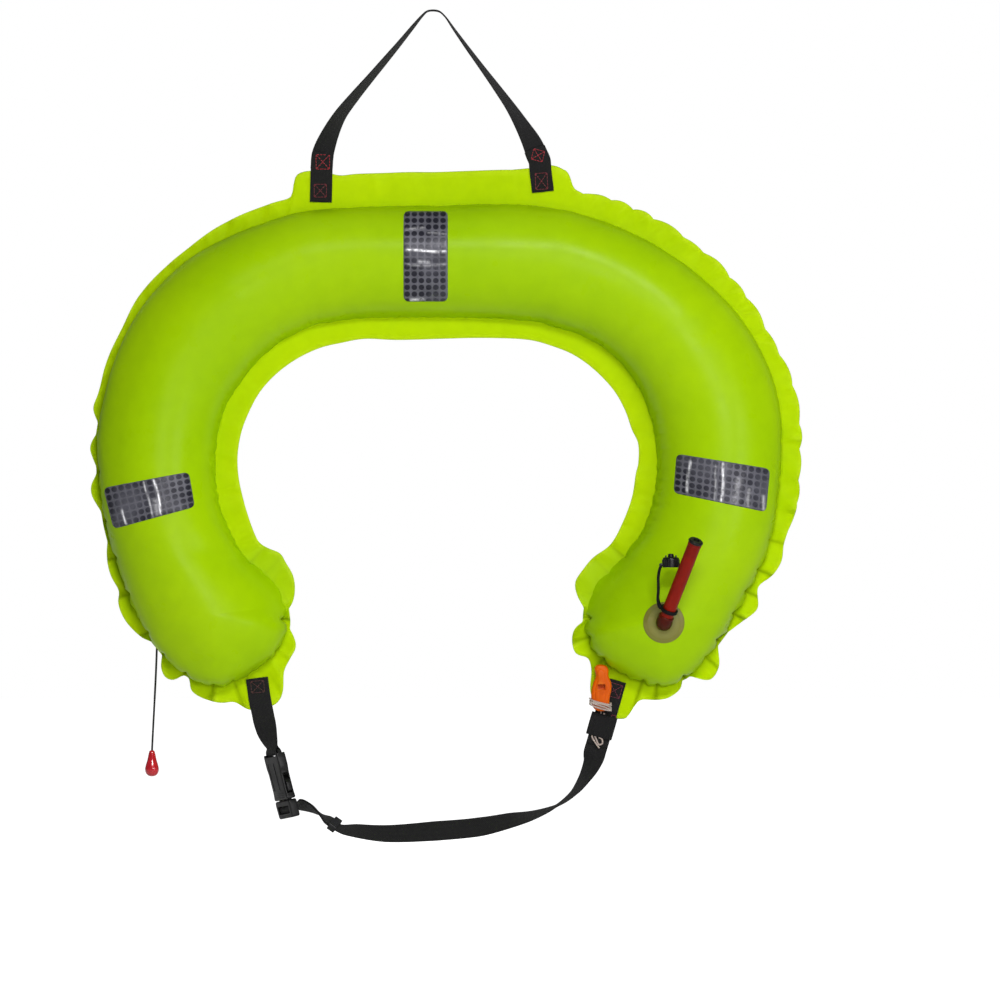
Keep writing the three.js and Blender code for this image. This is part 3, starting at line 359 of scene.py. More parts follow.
def prism(outline, z0, z1, bevel=0.0, segments=3, hole=None, material=None):
    """Outline [[x, y], ...] from z0 to z1, with a hole right through and bevelled edges."""
    curve = bpy.data.curves.new("part", "CURVE")
    curve.dimensions = "2D"
    curve.fill_mode = "BOTH"
    curve.extrude = abs(z1 - z0) / 2 * MM
    for loop in [outline] if hole is None else [outline, hole]:
        spline = curve.splines.new("POLY")
        spline.points.add(len(loop) - 1)
        for q, (x, y) in enumerate(loop):
            spline.points[q].co = (x * MM, y * MM, 0, 1)
        spline.use_cyclic_u = True
    flat = bpy.data.objects.new("part", curve)
    scene.collection.objects.link(flat)
    deps = bpy.context.evaluated_depsgraph_get()
    mesh = bpy.data.meshes.new_from_object(flat.evaluated_get(deps), depsgraph=deps)
    bpy.data.objects.remove(flat)
    bpy.data.curves.remove(curve)
    bm = bmesh.new()
    bm.from_mesh(mesh)
    bmesh.ops.remove_doubles(bm, verts=bm.verts, dist=1e-6)
    bmesh.ops.dissolve_limit(bm, angle_limit=math.radians(0.5), verts=bm.verts, edges=bm.edges)
    bmesh.ops.recalc_face_normals(bm, faces=bm.faces)
    for v in bm.verts:
        v.co.z += (z0 + z1) / 2 * MM
    bm.to_mesh(mesh)
    bm.free()
    mesh.materials.clear()
    obj = bpy.data.objects.new("part", mesh)
    scene.collection.objects.link(obj)
    if material is not None:
        mesh.materials.append(material)
    if bevel:
        modifier = obj.modifiers.new("bevel", "BEVEL")
        modifier.width = bevel * MM
        modifier.segments = segments
        modifier.limit_method = "ANGLE"
        modifier.angle_limit = math.radians(30)
        apply_modifiers(obj)
    sharp_by_angle(obj, 40 if bevel else 35)
    return obj


def box(x_span, y_span, z_span, bevel=0.0, material=None):
    (x0, x1), (y0, y1) = x_span, y_span
    return prism([[x0, y0], [x1, y0], [x1, y1], [x0, y1]], *z_span, bevel, material=material)


def block(centre, half, bevel):
    """Box from its centre and half sizes."""
    return box(*[(c - h, c + h) for c, h in zip(centre, half)], bevel)


# ------------------------------------------------------------------ procedural materials
def linear(colour):
    """sRGB colour, 0 to 255, as linear RGBA."""
    def channel(c):
        c /= 255
        return c / 12.92 if c <= 0.04045 else ((c + 0.055) / 1.055) ** 2.4
    return (*[channel(c) for c in colour], 1.0)


def scaled(colour, factor):
    return tuple(c * factor for c in colour)


def lighter(colour, amount):
    return tuple(c + amount for c in colour)


class Shader:
    """Node builder round one Principled BSDF; three-part tuples fed to it are sRGB colours."""

    def __init__(self, name, rough, metal=0.0):
        self.mat = bpy.data.materials.new(name)
        self.mat.use_nodes = True
        self.tree = self.mat.node_tree
        self.bsdf = self.tree.nodes["Principled BSDF"]
        self.set("Roughness", rough)
        self.set("Metallic", metal)
        self.coords = self.add("ShaderNodeTexCoord")

    def add(self, kind, **props):
        node = self.tree.nodes.new(kind)
        for key, value in props.items():
            setattr(node, key, value)
        return node

    def set(self, key, value):
        self.bsdf.inputs[key].default_value = value

    def feed(self, socket, value):
        if isinstance(value, bpy.types.NodeSocket):
            self.tree.links.new(value, socket)
        elif isinstance(value, tuple):
            socket.default_value = linear(value)
        else:
            socket.default_value = value

    def feed_bsdf(self, key, value):
        self.feed(self.bsdf.inputs[key], value)

    def noise(self, scale, detail=3.0, rough=0.5, coords=None, distort=0.0):
        node = self.add("ShaderNodeTexNoise")
        node.inputs["Scale"].default_value = scale
        node.inputs["Detail"].default_value = detail
        node.inputs["Roughness"].default_value = rough
        node.inputs["Distortion"].default_value = distort
        self.feed(node.inputs["Vector"], coords or self.coords.outputs["Object"])
        return node.outputs["Fac"]

    def wave(self, direction, scale, distort=0.0, coords=None):
        node = self.add("ShaderNodeTexWave", wave_type="BANDS", bands_direction=direction)
        node.inputs["Scale"].default_value = scale
        node.inputs["Distortion"].default_value = distort
        self.feed(node.inputs["Vector"], coords or self.coords.outputs["Object"])
        return node.outputs["Fac"]

    def scaled_coords(self, scale):
        node = self.add("ShaderNodeMapping")
        self.feed(node.inputs["Vector"], self.coords.outputs["Object"])
        node.inputs["Scale"].default_value = scale
        return node.outputs["Vector"]

    def uv(self):
        node = self.add("ShaderNodeSeparateXYZ")
        self.feed(node.inputs[0], self.coords.outputs["UV"])
        return node.outputs["X"], node.outputs["Y"]

    def math(self, operation, a, b=0.0):
        node = self.add("ShaderNodeMath", operation=operation)
        self.feed(node.inputs[0], a)
        self.feed(node.inputs[1], b)
        return node.outputs[0]

    def sine(self, value, pitch):
        return self.math("SINE", self.math("MULTIPLY", value, 2 * math.pi / pitch))

    def ramp(self, value, span, to=(0.0, 1.0)):
        """Maps `span` of the value onto `to`."""
        node = self.add("ShaderNodeMapRange")
        for key, number in zip(("From Min", "From Max", "To Min", "To Max"), (*span, *to)):
            node.inputs[key].default_value = number
        self.feed(node.inputs["Value"], value)
        return node.outputs["Result"]

    def clouds(self, scale, to=(0.0, 1.0), span=(0.3, 0.7), **noise):
        return self.ramp(self.noise(scale, **noise), span, to)

    def mix(self, factor, a, b):
        node = self.add("ShaderNodeMix", data_type="RGBA")
        self.feed(node.inputs["Factor"], factor)
        self.feed(node.inputs[6], a)
        self.feed(node.inputs[7], b)
        return node.outputs[2]

    def tint(self, mask, base, over, span, to=(0.0, 1.0)):
        """Lays the colour `over` on `base`, as strongly as the ramped mask."""
        return self.mix(self.ramp(mask, span, to), base, over)

    def bump(self, height, strength, depth, after=None):
        """Bump of `depth` mm, on top of the normal `after`."""
        node = self.add("ShaderNodeBump")
        node.inputs["Strength"].default_value = strength
        node.inputs["Distance"].default_value = depth * MM
        self.feed(node.inputs["Height"], height)
        if after is not None:
            self.feed(node.inputs["Normal"], after)
        return node.outputs["Normal"]

    def attribute(self, name):
        return self.add("ShaderNodeAttribute", attribute_name=name).outputs["Fac"]

    def facing(self, blend):
        node = self.add("ShaderNodeLayerWeight")
        node.inputs["Blend"].default_value = blend
        return node.outputs["Facing"]

    def pointiness(self):
        return self.add("ShaderNodeNewGeometry").outputs["Pointiness"]

    def finish(self, colour, rough, normal):
        self.feed_bsdf("Base Color", colour)
        self.feed_bsdf("Roughness", rough)
        self.feed_bsdf("Normal", normal)
        return self.mat


def coated_fabric():
    """Coated nylon: fine even weave under a soft sheen, brighter where it is welded flat."""
    n = Shader("coated_fabric_lime", rough=0.46)
    flange = n.attribute("flange")
    cloud = n.noise(scale=5.0, detail=4.0)
    mottle = n.noise(scale=60.0, rough=0.6)
    tube_lime = n.tint(cloud, (156, 200, 0), (166, 207, 2), span=(0.35, 0.68))
    flat_lime = n.tint(cloud, (178, 213, 0), (186, 219, 0), span=(0.35, 0.68))
    col = n.mix(flange, tube_lime, flat_lime)
    col = n.tint(mottle, col, (124, 170, 0), span=(0.3, 0.75), to=(0.0, 0.16))
    # painted highlight: paler, lighter lime where the skin bulges out, on ridges and edges
    col = n.tint(n.pointiness(), col, (196, 226, 40), span=(0.515, 0.56), to=(0.0, 0.35))
    # painted shade: deeper green where the skin turns away from the camera, at the tube's edges
    col = n.tint(n.facing(blend=0.35), col, (84, 126, 0), span=(0.35, 0.95), to=(0.0, 0.30))
    col = n.tint(n.attribute("shade"), col, (52, 78, 0), span=(0.0, 1.0), to=(0.0, 0.92))
    coords = n.scaled_coords((1, 0.35, 1))
    warp = n.wave("X", scale=230, distort=0.4, coords=coords)
    weft = n.wave("Z", scale=230, distort=0.4, coords=coords)
    weave = n.math("MAXIMUM", warp, weft)
    wrinkle = n.noise(scale=26.0, detail=4.0, rough=0.55, distort=0.6)
    normal = n.bump(wrinkle, strength=0.22, depth=1.2)
    normal = n.bump(n.noise(scale=420.0, detail=2.0), strength=0.12, depth=0.25, after=normal)
    normal = n.bump(weave, strength=0.10, depth=0.10, after=normal)
    flat_roughness = 0.22  # added where the layers are welded
    rough = n.math("ADD", n.clouds(38.0, to=(0.26, 0.38)),
                   n.math("MULTIPLY", flange, flat_roughness))
    n.feed_bsdf("Specular IOR Level", n.ramp(flange, span=(0.0, 1.0), to=(0.10, 0.03)))
    n.set("Subsurface Weight", 0.04)
    n.set("Subsurface Radius", (0.4, 0.6, 0.1))
    n.set("Subsurface Scale", 0.004)
    return n.finish(col, rough, normal)


def webbing(name, base, light):
    """Herringbone webbing with lit fibres on the ribs; UV is [across, along] in mm."""
    n = Shader(name, rough=0.72)
    across, along = n.uv()
    zig_width, zig_slope = 3.1, 0.8
    rib_pitch, cord_pitch = 1.9, 1.55
    zig = n.math("PINGPONG", n.math("MULTIPLY", across, 1.0), zig_width)
    rib = n.sine(n.math("ADD", along, n.math("MULTIPLY", zig, zig_slope)), rib_pitch)
    across_cord = n.sine(across, cord_pitch)
    rib_share, cord_share = 0.5, 0.35
    height = n.math("ADD", n.math("MULTIPLY", rib, rib_share),
                    n.math("MULTIPLY", across_cord, cord_share))
    fuzz = n.noise(scale=900.0, detail=2.0, rough=0.7)
    col = n.tint(height, base, light, span=(-0.5, 0.85))
    col = n.tint(fuzz, col, (62, 62, 64), span=(0.56, 0.82), to=(0, 0.35))
    col = n.tint(n.noise(scale=40.0), col, (20, 20, 22), span=(0.4, 0.7), to=(0, 0.25))
    normal = n.bump(height, strength=0.9, depth=0.35)
    normal = n.bump(fuzz, strength=0.3, depth=0.15, after=normal)
    n.set("Sheen Weight", 0.06)
    n.set("Sheen Roughness", 0.5)
    n.set("Specular IOR Level", 0.22)
    return n.finish(col, n.ramp(fuzz, span=(0.3, 0.7), to=(0.6, 0.85)), normal)


def moulded(name, base, worn, rough, grain, specular=0.5):
    """Moulded plastic: fine grain, faint flow marks, lighter rubbed edges."""
    n = Shader(name, rough)
    flow = n.noise(scale=28.0, detail=4.0, rough=0.55, distort=0.8)
    col = n.tint(flow, scaled(base, 0.75), base, span=(0.32, 0.7))
    col = n.tint(n.pointiness(), col, worn, span=(0.52, 0.62), to=(0.0, 0.6))
    normal = n.bump(n.noise(scale=900.0, rough=0.6), strength=grain, depth=0.12)
    n.set("Specular IOR Level", specular)
    return n.finish(col, n.clouds(60.0, to=(rough - 0.07, rough + 0.08)), normal)


def rubber(name, base, rough):
    n = Shader(name, rough)
    n.set("Specular IOR Level", 0.14)
    bloom = n.noise(scale=45.0, detail=5.0, rough=0.6)
    col = n.tint(bloom, base, lighter(base, 9), span=(0.35, 0.75))
    normal = n.bump(n.noise(scale=650.0), strength=0.18, depth=0.12)
    return n.finish(col, n.ramp(bloom, span=(0.3, 0.7), to=(rough - 0.1, rough + 0.1)), normal)


def red_tube():
    """Slightly glossy red vinyl, with painted shade where it turns away."""
    n = Shader("oral_tube_red", rough=0.42)
    n.set("Specular IOR Level", 0.16)
    flow = n.noise(scale=30.0, detail=4.0, distort=1.0)
    col = n.tint(flow, (118, 12, 0), (146, 22, 0), span=(0.3, 0.75))
    # painted shade: darker red where the surface turns away from the camera
    col = n.tint(n.facing(blend=0.4), col, (86, 6, 2), span=(0.5, 1.0), to=(0, 0.4))
    n.set("Coat Weight", 0.05)
    n.set("Coat Roughness", 0.25)
    return n.finish(col, n.clouds(70.0, to=(0.38, 0.52)),
                    n.bump(n.noise(scale=300.0), strength=0.10, depth=0.12))


def weld_disc():
    """Olive, slightly see-through disc with a paler ring."""
    n = Shader("weld_disc_olive", rough=0.42)
    ring = n.attribute("ring")
    col = n.tint(ring, (116, 114, 34), (136, 134, 60), span=(0.0, 1.0))
    blotch = n.noise(scale=70.0, detail=4.0)
    col = n.tint(blotch, col, (98, 98, 22), span=(0.35, 0.75), to=(0, 0.35))
    normal = n.bump(n.noise(scale=160.0), strength=0.2, depth=0.3)
    n.set("Subsurface Weight", 0.15)
    n.set("Subsurface Scale", 0.004)
    return n.finish(col, n.clouds(50.0, to=(0.34, 0.52)), normal)


def reflective():
    """Reflective film: dark round cells between pale lattice lines, with painted reflections:
    bright streaks that glow.

    UV is in mm.
    """
    n = Shader("reflective_tape", rough=0.34, metal=0.08)
    x, y = n.uv()
    cell_width, cell_height, fine_pitch = 8.0, 7.4, 1.3

    def from_cell_centre(value, pitch):
        return n.math("SUBTRACT", n.math("FRACT", n.math("DIVIDE", value, pitch)), 0.5)

    cx, cy = from_cell_centre(x, cell_width), from_cell_centre(y, cell_height)
    square_x, square_y = n.math("MULTIPLY", cx, cx), n.math("MULTIPLY", cy, cy)
    radius = n.math("SQRT", n.math("ADD", square_x, square_y))
    dots = n.ramp(radius, span=(0.44, 0.34))
    side_x, side_y = n.math("ABSOLUTE", cx), n.math("ABSOLUTE", cy)
    lines = n.ramp(n.math("MAXIMUM", side_x, side_y), span=(0.45, 0.50))
    fine = n.math("MULTIPLY", n.sine(x, fine_pitch), n.sine(y, fine_pitch))
    cloud = n.noise(scale=34.0, detail=4.0, rough=0.6)
    base = n.tint(cloud, (74, 74, 82), (108, 108, 118), span=(0.32, 0.72))
    base = n.tint(fine, base, (136, 136, 144), span=(0.2, 0.8), to=(0, 0.25))
    veil = n.clouds(16.0, to=(0.95, 0.25), span=(0.42, 0.62), detail=2.0)
    col = n.mix(n.math("MULTIPLY", dots, veil), base, (30, 30, 40))
    line_strength, glow, line_depth = 0.22, 0.45, -0.6
    col = n.mix(n.math("MULTIPLY", lines, line_strength), col, (150, 150, 158))
    # painted reflections: near-white glint streaks, broken up by noise, that also glow through
    # the emission
    glint = n.attribute("glint")
    broken = n.clouds(120.0, span=(0.30, 0.55), rough=0.7)
    col = n.mix(n.math("MULTIPLY", glint, broken), col, (246, 246, 250))
    n.set("Coat Weight", 0.06)
    n.set("Coat Roughness", 0.20)
    n.set("Specular IOR Level", 0.16)
    n.feed_bsdf("Emission Color", col)
    n.feed_bsdf("Emission Strength", n.math("MULTIPLY", glint, n.math("MULTIPLY", broken, glow)))
    relief = n.math("ADD", dots, n.math("MULTIPLY", lines, line_depth))
    normal = n.bump(relief, strength=0.35, depth=0.25)
    normal = n.bump(n.noise(scale=55.0), strength=0.25, depth=0.8, after=normal)
    return n.finish(col, n.ramp(cloud, span=(0.3, 0.7), to=(0.22, 0.38)), normal)


def metal(name, base, rough):
    """Brushed metal."""
    n = Shader(name, rough, metal=1.0)
    coords = n.scaled_coords((1.0, 1.0, 14.0))
    scratch = n.noise(scale=160.0, detail=4.0, rough=0.65, coords=coords)
    cloud = n.noise(scale=26.0, detail=4.0)
    col = n.tint(cloud, scaled(base, 0.86), base, span=(0.3, 0.75))
    return n.finish(col, n.ramp(scratch, span=(0.3, 0.7), to=(rough - 0.07, rough + 0.12)),
                    n.bump(scratch, strength=0.12, depth=0.1))


def thread(name, base):
    n = Shader(name, rough=0.55)
    ply = n.wave("DIAGONAL", scale=900)
    col = n.mix(ply, scaled(base, 0.72), base)
    n.set("Sheen Weight", 0.2)
    return n.finish(col, n.clouds(300.0, to=(0.45, 0.65)), n.bump(ply, strength=0.5, depth=0.2))


def twisted_cord(name, base, dark, strands):
    """Cord of slanted strands; `strands` is the scale of their wave."""
    n = Shader(name, rough=0.7)
    ply = n.wave("DIAGONAL", scale=strands, distort=0.6)
    fuzz = n.noise(scale=1200.0, detail=2.0)
    col = n.mix(ply, dark, base)
    col = n.tint(fuzz, col, lighter(base, 25), span=(0.5, 0.8), to=(0, 0.3))
    n.set("Sheen Weight", 0.3)
    return n.finish(col, n.ramp(fuzz, span=(0.3, 0.7), to=(0.6, 0.85)),
                    n.bump(ply, strength=0.7, depth=0.3))


def orange_plastic():
    n = Shader("whistle_orange", rough=0.34)
    flow = n.noise(scale=40.0, detail=4.0, distort=1.2)
    col = n.tint(flow, (206, 84, 0), (226, 100, 0), span=(0.3, 0.75))
    col = n.tint(n.pointiness(), col, (228, 124, 22), span=(0.53, 0.62), to=(0, 0.5))
    scratch = n.noise(scale=240.0, detail=4.0, rough=0.7)
    n.set("Specular IOR Level", 0.12)
    n.set("Coat Weight", 0.04)
    n.set("Coat Roughness", 0.2)
    n.set("Subsurface Weight", 0.06)
    n.set("Subsurface Scale", 0.003)
    return n.finish(col, n.ramp(scratch, span=(0.3, 0.7), to=(0.26, 0.44)),
                    n.bump(scratch, strength=0.12, depth=0.12))


def bead_red():
    n = Shader("bead_crimson", rough=0.16)
    col = n.tint(n.noise(scale=60.0), (176, 6, 22), (208, 18, 40), span=(0.3, 0.75))
    n.set("Coat Weight", 0.7)
    n.set("Coat Roughness", 0.06)
    return n.finish(col, n.clouds(150.0, to=(0.14, 0.24)),
                    n.bump(n.noise(scale=400.0), strength=0.04, depth=0.1))


LIME = coated_fabric()
WEBBING = webbing("webbing_black", base=(13, 13, 14), light=(33, 33, 34))
TAPE = reflective()
DISC = weld_disc()
RED_THREAD = thread("stitch_red", base=(190, 18, 44))
DULL_THREAD = thread("stitch_oxblood", base=(92, 26, 24))
PLUM_THREAD = thread("stitch_plum", base=(128, 14, 56))
LOW_THREAD = thread("stitch_crimson", base=(140, 20, 44))
ELASTIC = webbing("elastic_black", base=(12, 12, 13), light=(26, 26, 28))
ORANGE = orange_plastic()
WHITE_CORD = twisted_cord("lanyard_white", (216, 202, 194), dark=(136, 112, 100), strands=620)
BUCKLE = moulded("buckle_black", (11, 11, 12), worn=(38, 38, 41),
                 rough=0.36, grain=0.20, specular=0.34)
RED = red_tube()
# painted shade: the socket is the tube's red, made darker here for the shade it lies in
SHADED_SOCKET_RED = moulded("socket_red_painted_shade", (88, 16, 1), worn=(112, 30, 8),
                     rough=0.46, grain=0.2, specular=0.14)
BLACK_RUBBER = rubber("rubber_black", base=(9, 9, 10), rough=0.55)
CAP_PLASTIC = moulded("cap_black", (12, 12, 13), worn=(40, 40, 43),
                      rough=0.34, grain=0.15, specular=0.34)
BODY_PLASTIC = moulded("inflator_grey", (44, 47, 52), worn=(86, 90, 96), rough=0.46, grain=0.3)
LEVER_PLASTIC = moulded("lever_red", (186, 20, 22), worn=(214, 66, 60), rough=0.34, grain=0.18)
STEEL = metal("steel_plain", base=(178, 182, 188), rough=0.28)
BRASS = metal("brass_nut", base=(186, 154, 84), rough=0.3)
GAS_METAL = metal("cylinder_zinc", base=(150, 156, 160), rough=0.34)
BLACK_CORD = twisted_cord("cord_black", (22, 22, 24), dark=(9, 9, 10), strands=760)


# ------------------------------------------------------------------ bladder outline, columns x z
# Outer and inner weld of the tube, from the left arm's end over the top to the right arm's end.
# A row of one lies across the tube from the same row of the other.
SEAM_OUT = table("""
    -324.8 -682.1, -339.4 -654.1, -351.7 -619.4, -360.6 -589.1, -367.4 -557.8, -371.8 -518.6,
    -373.0 -479.4, -365.1 -433.4, -348.3 -380.8, -319.2 -327.0, -274.4 -281.1, -218.4 -249.8,
    -162.4 -229.6, -153.4 -227.4, -87.4 -220.6, -1.1 -218.4, 85.1 -217.3, 149.0 -224.0,
    157.9 -226.2, 211.7 -245.3, 267.7 -275.5, 314.7 -313.6, 349.4 -353.9, 374.1 -401.0,
    386.4 -451.4, 387.5 -499.5, 384.2 -543.2, 378.6 -580.2, 367.4 -616.0, 351.7 -647.4,
    339.4 -669.8, 329.3 -687.7""")
SEAM_IN = table("""
    -166.9 -665.3, -172.5 -647.4, -191.5 -626.1, -212.8 -608.2, -227.4 -582.4, -239.7 -552.2,
    -244.2 -513.0, -241.9 -476.0, -233.0 -442.4, -215.0 -413.3, -189.3 -383.0, -159.0 -361.8,
    -129.9 -349.4, -124.3 -348.3, -81.8 -342.7, -1.1 -341.6, 79.5 -343.3, 125.4 -348.3,
    131.0 -350.6, 166.9 -361.8, 198.2 -380.8, 222.9 -407.7, 237.4 -434.6, 246.4 -462.6,
    250.9 -492.8, 250.9 -524.2, 245.3 -553.3, 236.3 -577.9, 221.8 -600.3, 201.6 -622.7,
    181.4 -642.9, 173.6 -667.5""")
# The weld round the arm ends: right from outer to inner, left from inner to outer.
TIP_R_SEAM = table("""
    320.3 -700.0, 300.2 -725.8, 281.1 -742.6, 256.5 -752.6, 231.8 -747.0, 207.2 -735.8,
    188.2 -721.3, 175.8 -703.4, 172.5 -685.4""")
TIP_L_SEAM = table("""
    -164.6 -681.0, -166.9 -697.8, -180.3 -720.2, -198.8 -733.6, -221.8 -748.2, -244.2 -752.6,
    -272.2 -740.9, -299.0 -717.9, -314.7 -697.8""")
# Cut edge of the welded flange, once round in the same direction.
CUT_EDGE = table("""
    -345.0 -681.0, -352.8 -660.8, -351.7 -649.6, -361.1 -630.6, -365.7 -608.2, -364.0 -581.3,
    -370.7 -562.2, -381.9 -542.1, -383.0 -530.9, -376.3 -514.1, -380.8 -500.6, -384.2 -487.2,
    -376.3 -471.5, -373.0 -467.0, -378.6 -452.5, -380.8 -443.5, -375.2 -427.8, -365.1 -389.8,
    -348.3 -353.9, -330.4 -319.2, -304.6 -290.1, -275.5 -265.4, -245.3 -243.0, -212.8 -226.2,
    -180.3 -213.9, -156.2 -205.0, -156.2 -185.9, -146.7 -179.2, -125.4 -178.1, -104.2 -183.1,
    -88.5 -181.4, -57.1 -180.3, -25.8 -179.2, 4.5 -179.2, 34.7 -178.1, 66.1 -177.0,
    99.7 -175.8, 132.2 -171.9, 149.0 -177.0, 154.6 -187.6, 156.8 -198.2, 172.5 -202.7,
    194.9 -207.2, 227.4 -220.6, 261.0 -237.4, 292.3 -258.7, 322.6 -284.5, 349.4 -314.7,
    370.7 -349.4, 390.9 -386.4, 406.6 -425.6, 412.2 -468.2, 411.0 -510.7, 407.7 -554.4,
    393.1 -594.7, 390.9 -613.8, 379.7 -631.7, 364.0 -644.0, 364.0 -667.5, 350.6 -679.8,
    333.8 -692.2, 320.3 -703.4, 320.3 -733.6, 310.2 -748.2, 281.1 -743.7, 277.8 -757.1,
    263.2 -768.3, 248.6 -770.6, 231.8 -770.6, 222.9 -779.5, 221.2 -789.6, 206.1 -791.8,
    191.5 -788.5, 180.3 -775.0, 175.8 -757.1, 177.5 -738.1, 173.6 -723.5, 160.2 -719.0,
    155.7 -704.5, 159.0 -689.9, 173.6 -677.6, 169.1 -667.5, 161.3 -653.0, 159.0 -638.4,
    166.9 -626.1, 178.6 -611.5, 198.2 -597.0, 210.6 -575.7, 222.9 -543.2, 227.4 -515.2,
    229.6 -507.4, 229.6 -482.7, 222.9 -468.2, 215.0 -445.8, 203.8 -425.6, 189.3 -408.8,
    171.4 -393.1, 153.4 -381.9, 133.3 -374.1, 114.2 -368.5, 96.3 -366.2, 50.4 -365.1,
    4.5 -366.2, -40.3 -367.4, -78.4 -366.2, -103.0 -370.7, -123.2 -375.2, -142.2 -383.0,
    -161.3 -394.2, -179.2 -408.8, -193.8 -425.6, -205.0 -445.8, -213.9 -468.2, -218.4 -491.7,
    -218.4 -515.2, -212.8 -544.3, -201.0 -581.3, -193.8 -594.7, -182.6 -601.4, -171.4 -605.9,
    -164.6 -617.1, -156.8 -630.6, -154.6 -645.1, -157.9 -663.0, -169.1 -676.5, -174.7 -681.0,
    -164.6 -686.0, -155.7 -700.0, -153.4 -711.2, -160.2 -724.6, -166.9 -738.1, -168.0 -761.6,
    -175.8 -775.0, -206.1 -781.8, -221.8 -772.8, -237.4 -773.9, -258.7 -768.3, -271.0 -759.4,
    -273.3 -745.9, -281.1 -742.6, -287.8 -748.2, -299.0 -745.9, -304.6 -733.6, -303.5 -717.9,
    -308.0 -709.0, -327.0 -700.0""")
# Where the flange is drawn in: x, z, strength.
CREASES = table("""
    -373.0 -467.0 0.5, -376.3 -514.1 0.6, -366.2 -569.0 0.6, -364.0 -613.8 0.6,
    -351.7 -655.2 0.7, -327.0 -700.0 0.8, -303.5 -720.2 0.9, -281.1 -742.6 1.2,
    -247.5 -771.7 0.7, -212.8 -779.5 0.6, -174.7 -681.0 1.3, -155.7 -655.2 0.5,
    -168.0 -610.4 0.8, -188.2 -598.1 0.7, 409.9 -479.4 0.4, 411.0 -524.2 0.5,
    393.1 -594.7 0.6, 379.7 -631.7 0.8, 364.0 -655.2 0.8, 350.6 -679.8 0.8,
    320.3 -703.4 1.2, 320.3 -733.6 0.8, 281.1 -743.7 1.2, 248.6 -770.6 0.8,
    222.9 -779.5 0.8, 178.6 -738.1 0.7, 157.9 -704.5 0.6, 173.6 -677.6 1.2,
    159.0 -647.4 0.6, 178.1 -611.5 0.9, 198.2 -597.0 0.6""")

NA, NT = 540, 128          # stations along each side of the tube, and round each arm end
DOME_ROWS = 24             # rows from the ridge to the weld
# Rows across the flange as parts of its width: closer at the weld, and one just inside the edge.
FLANGE_AT = (0.0, 0.03, 0.075, 0.14, 0.25, 0.40, 0.58, 0.78, 0.975, 1.0)
HIGHEST = 64               # most that the tube stands out from the weld's plane
WELD_HALF = 1.1            # half thickness of the skin at the weld


def dense_stations():
    """Weld, ridge and height of the ridge, and the ridge point that each weld station owns."""
    arc = path_length((SEAM_OUT + SEAM_IN) / 2)
    at = np.linspace(0, arc[-1], NA)
    per = 24
    last = len(SEAM_OUT) - 1
    arc_dense = np.interp(np.linspace(0, last, last * per + 1), np.arange(last + 1), arc)
    outer, inner = [interp_rows(at, arc_dense, catmull(s, per)) for s in (SEAM_OUT, SEAM_IN)]

    def tip(*points):
        return resample(catmull(np.vstack(points), 10), count=NT + 2)[1:-1]

    tip_r = tip(SEAM_OUT[-1], TIP_R_SEAM, SEAM_IN[-1])
    tip_l = tip(SEAM_IN[0], TIP_L_SEAM, SEAM_OUT[0])
    seam = smooth_closed(np.vstack([outer, tip_r, inner[::-1], tip_l]), 2.2)
    outer, inner = seam[:NA], seam[NA + NT:2 * NA + NT][::-1]
    half = smooth_open(np.linalg.norm(outer - inner, axis=1) / 2, 8, 24)
    arm = np.arange(NA)
    owner = np.r_[arm, np.full(NT, NA - 1), arm[::-1], np.zeros(NT, int)]
    return seam, (outer + inner) / 2, np.minimum(0.98 * half, HIGHEST), owner


SEAM, RIDGE, HIGH, OWNER = dense_stations()
NS = len(SEAM)
GAP = np.linalg.norm(np.roll(SEAM, -1, 0) - SEAM, axis=1)
ARC = np.r_[0, np.cumsum(GAP)][:-1]
LOOP = GAP.sum()


def flange_edge():
    """Direction across the flange at every station, and how far it reaches."""
    tangent = unit(np.roll(SEAM, -3, 0) - np.roll(SEAM, 3, 0))
    outward = np.stack([-tangent[:, 1], tangent[:, 0]], 1)
    outward *= np.sign((outward * (SEAM - RIDGE[OWNER])).sum(1))[:, None]
    start = resample(catmull(CUT_EDGE, 5, closed=True), step=1.2, closed=True)
    edge = np.roll(start, -1, 0) - start
    reach = np.empty(NS)
    for k in range(NS):
        way = outward[k]
        den = way[0] * edge[:, 1] - way[1] * edge[:, 0]
        den = np.where(np.abs(den) < 1e-9, 1e-9, den)
        gap = start - SEAM[k]
        far = (gap[:, 0] * edge[:, 1] - gap[:, 1] * edge[:, 0]) / den
        on_edge = (gap[:, 0] * way[1] - gap[:, 1] * way[0]) / den
        hit = (on_edge >= 0) & (on_edge <= 1) & (far > 2) & (far < 75)
        reach[k] = far[hit].min() if hit.any() else np.nan
    bad = np.isnan(reach)
    idx = np.arange(NS)
    reach[bad] = np.interp(idx[bad], idx[~bad], reach[~bad])
    return outward, np.clip(smooth_closed(reach, 0.9), 5, 62)


OUTWARD, REACH = flange_edge()


def distance_along(station):
    """Distance of every station from one, the shorter way round."""
    d = np.abs(ARC - ARC[station])
    return np.minimum(d, LOOP - d)


def loop_noise(wave, amount, seed):
    """Smooth noise round the loop, in waves about `wave` mm long."""
    rnd = np.random.default_rng(seed)
    out = np.zeros(NS)
    base = LOOP / wave
    for _ in range(14):
        cycles = max(1, int(round(base * rnd.uniform(0.7, 1.4))))
        out += np.cos(2 * math.pi * cycles * ARC / LOOP + rnd.uniform(0, 6.28))
    return out / math.sqrt(7) * amount


def crease_stations():
    edge = SEAM + OUTWARD * REACH[:, None]
    return [(int(np.argmin(np.linalg.norm(edge - [x, z], axis=1))), strength)
            for x, z, strength in CREASES]


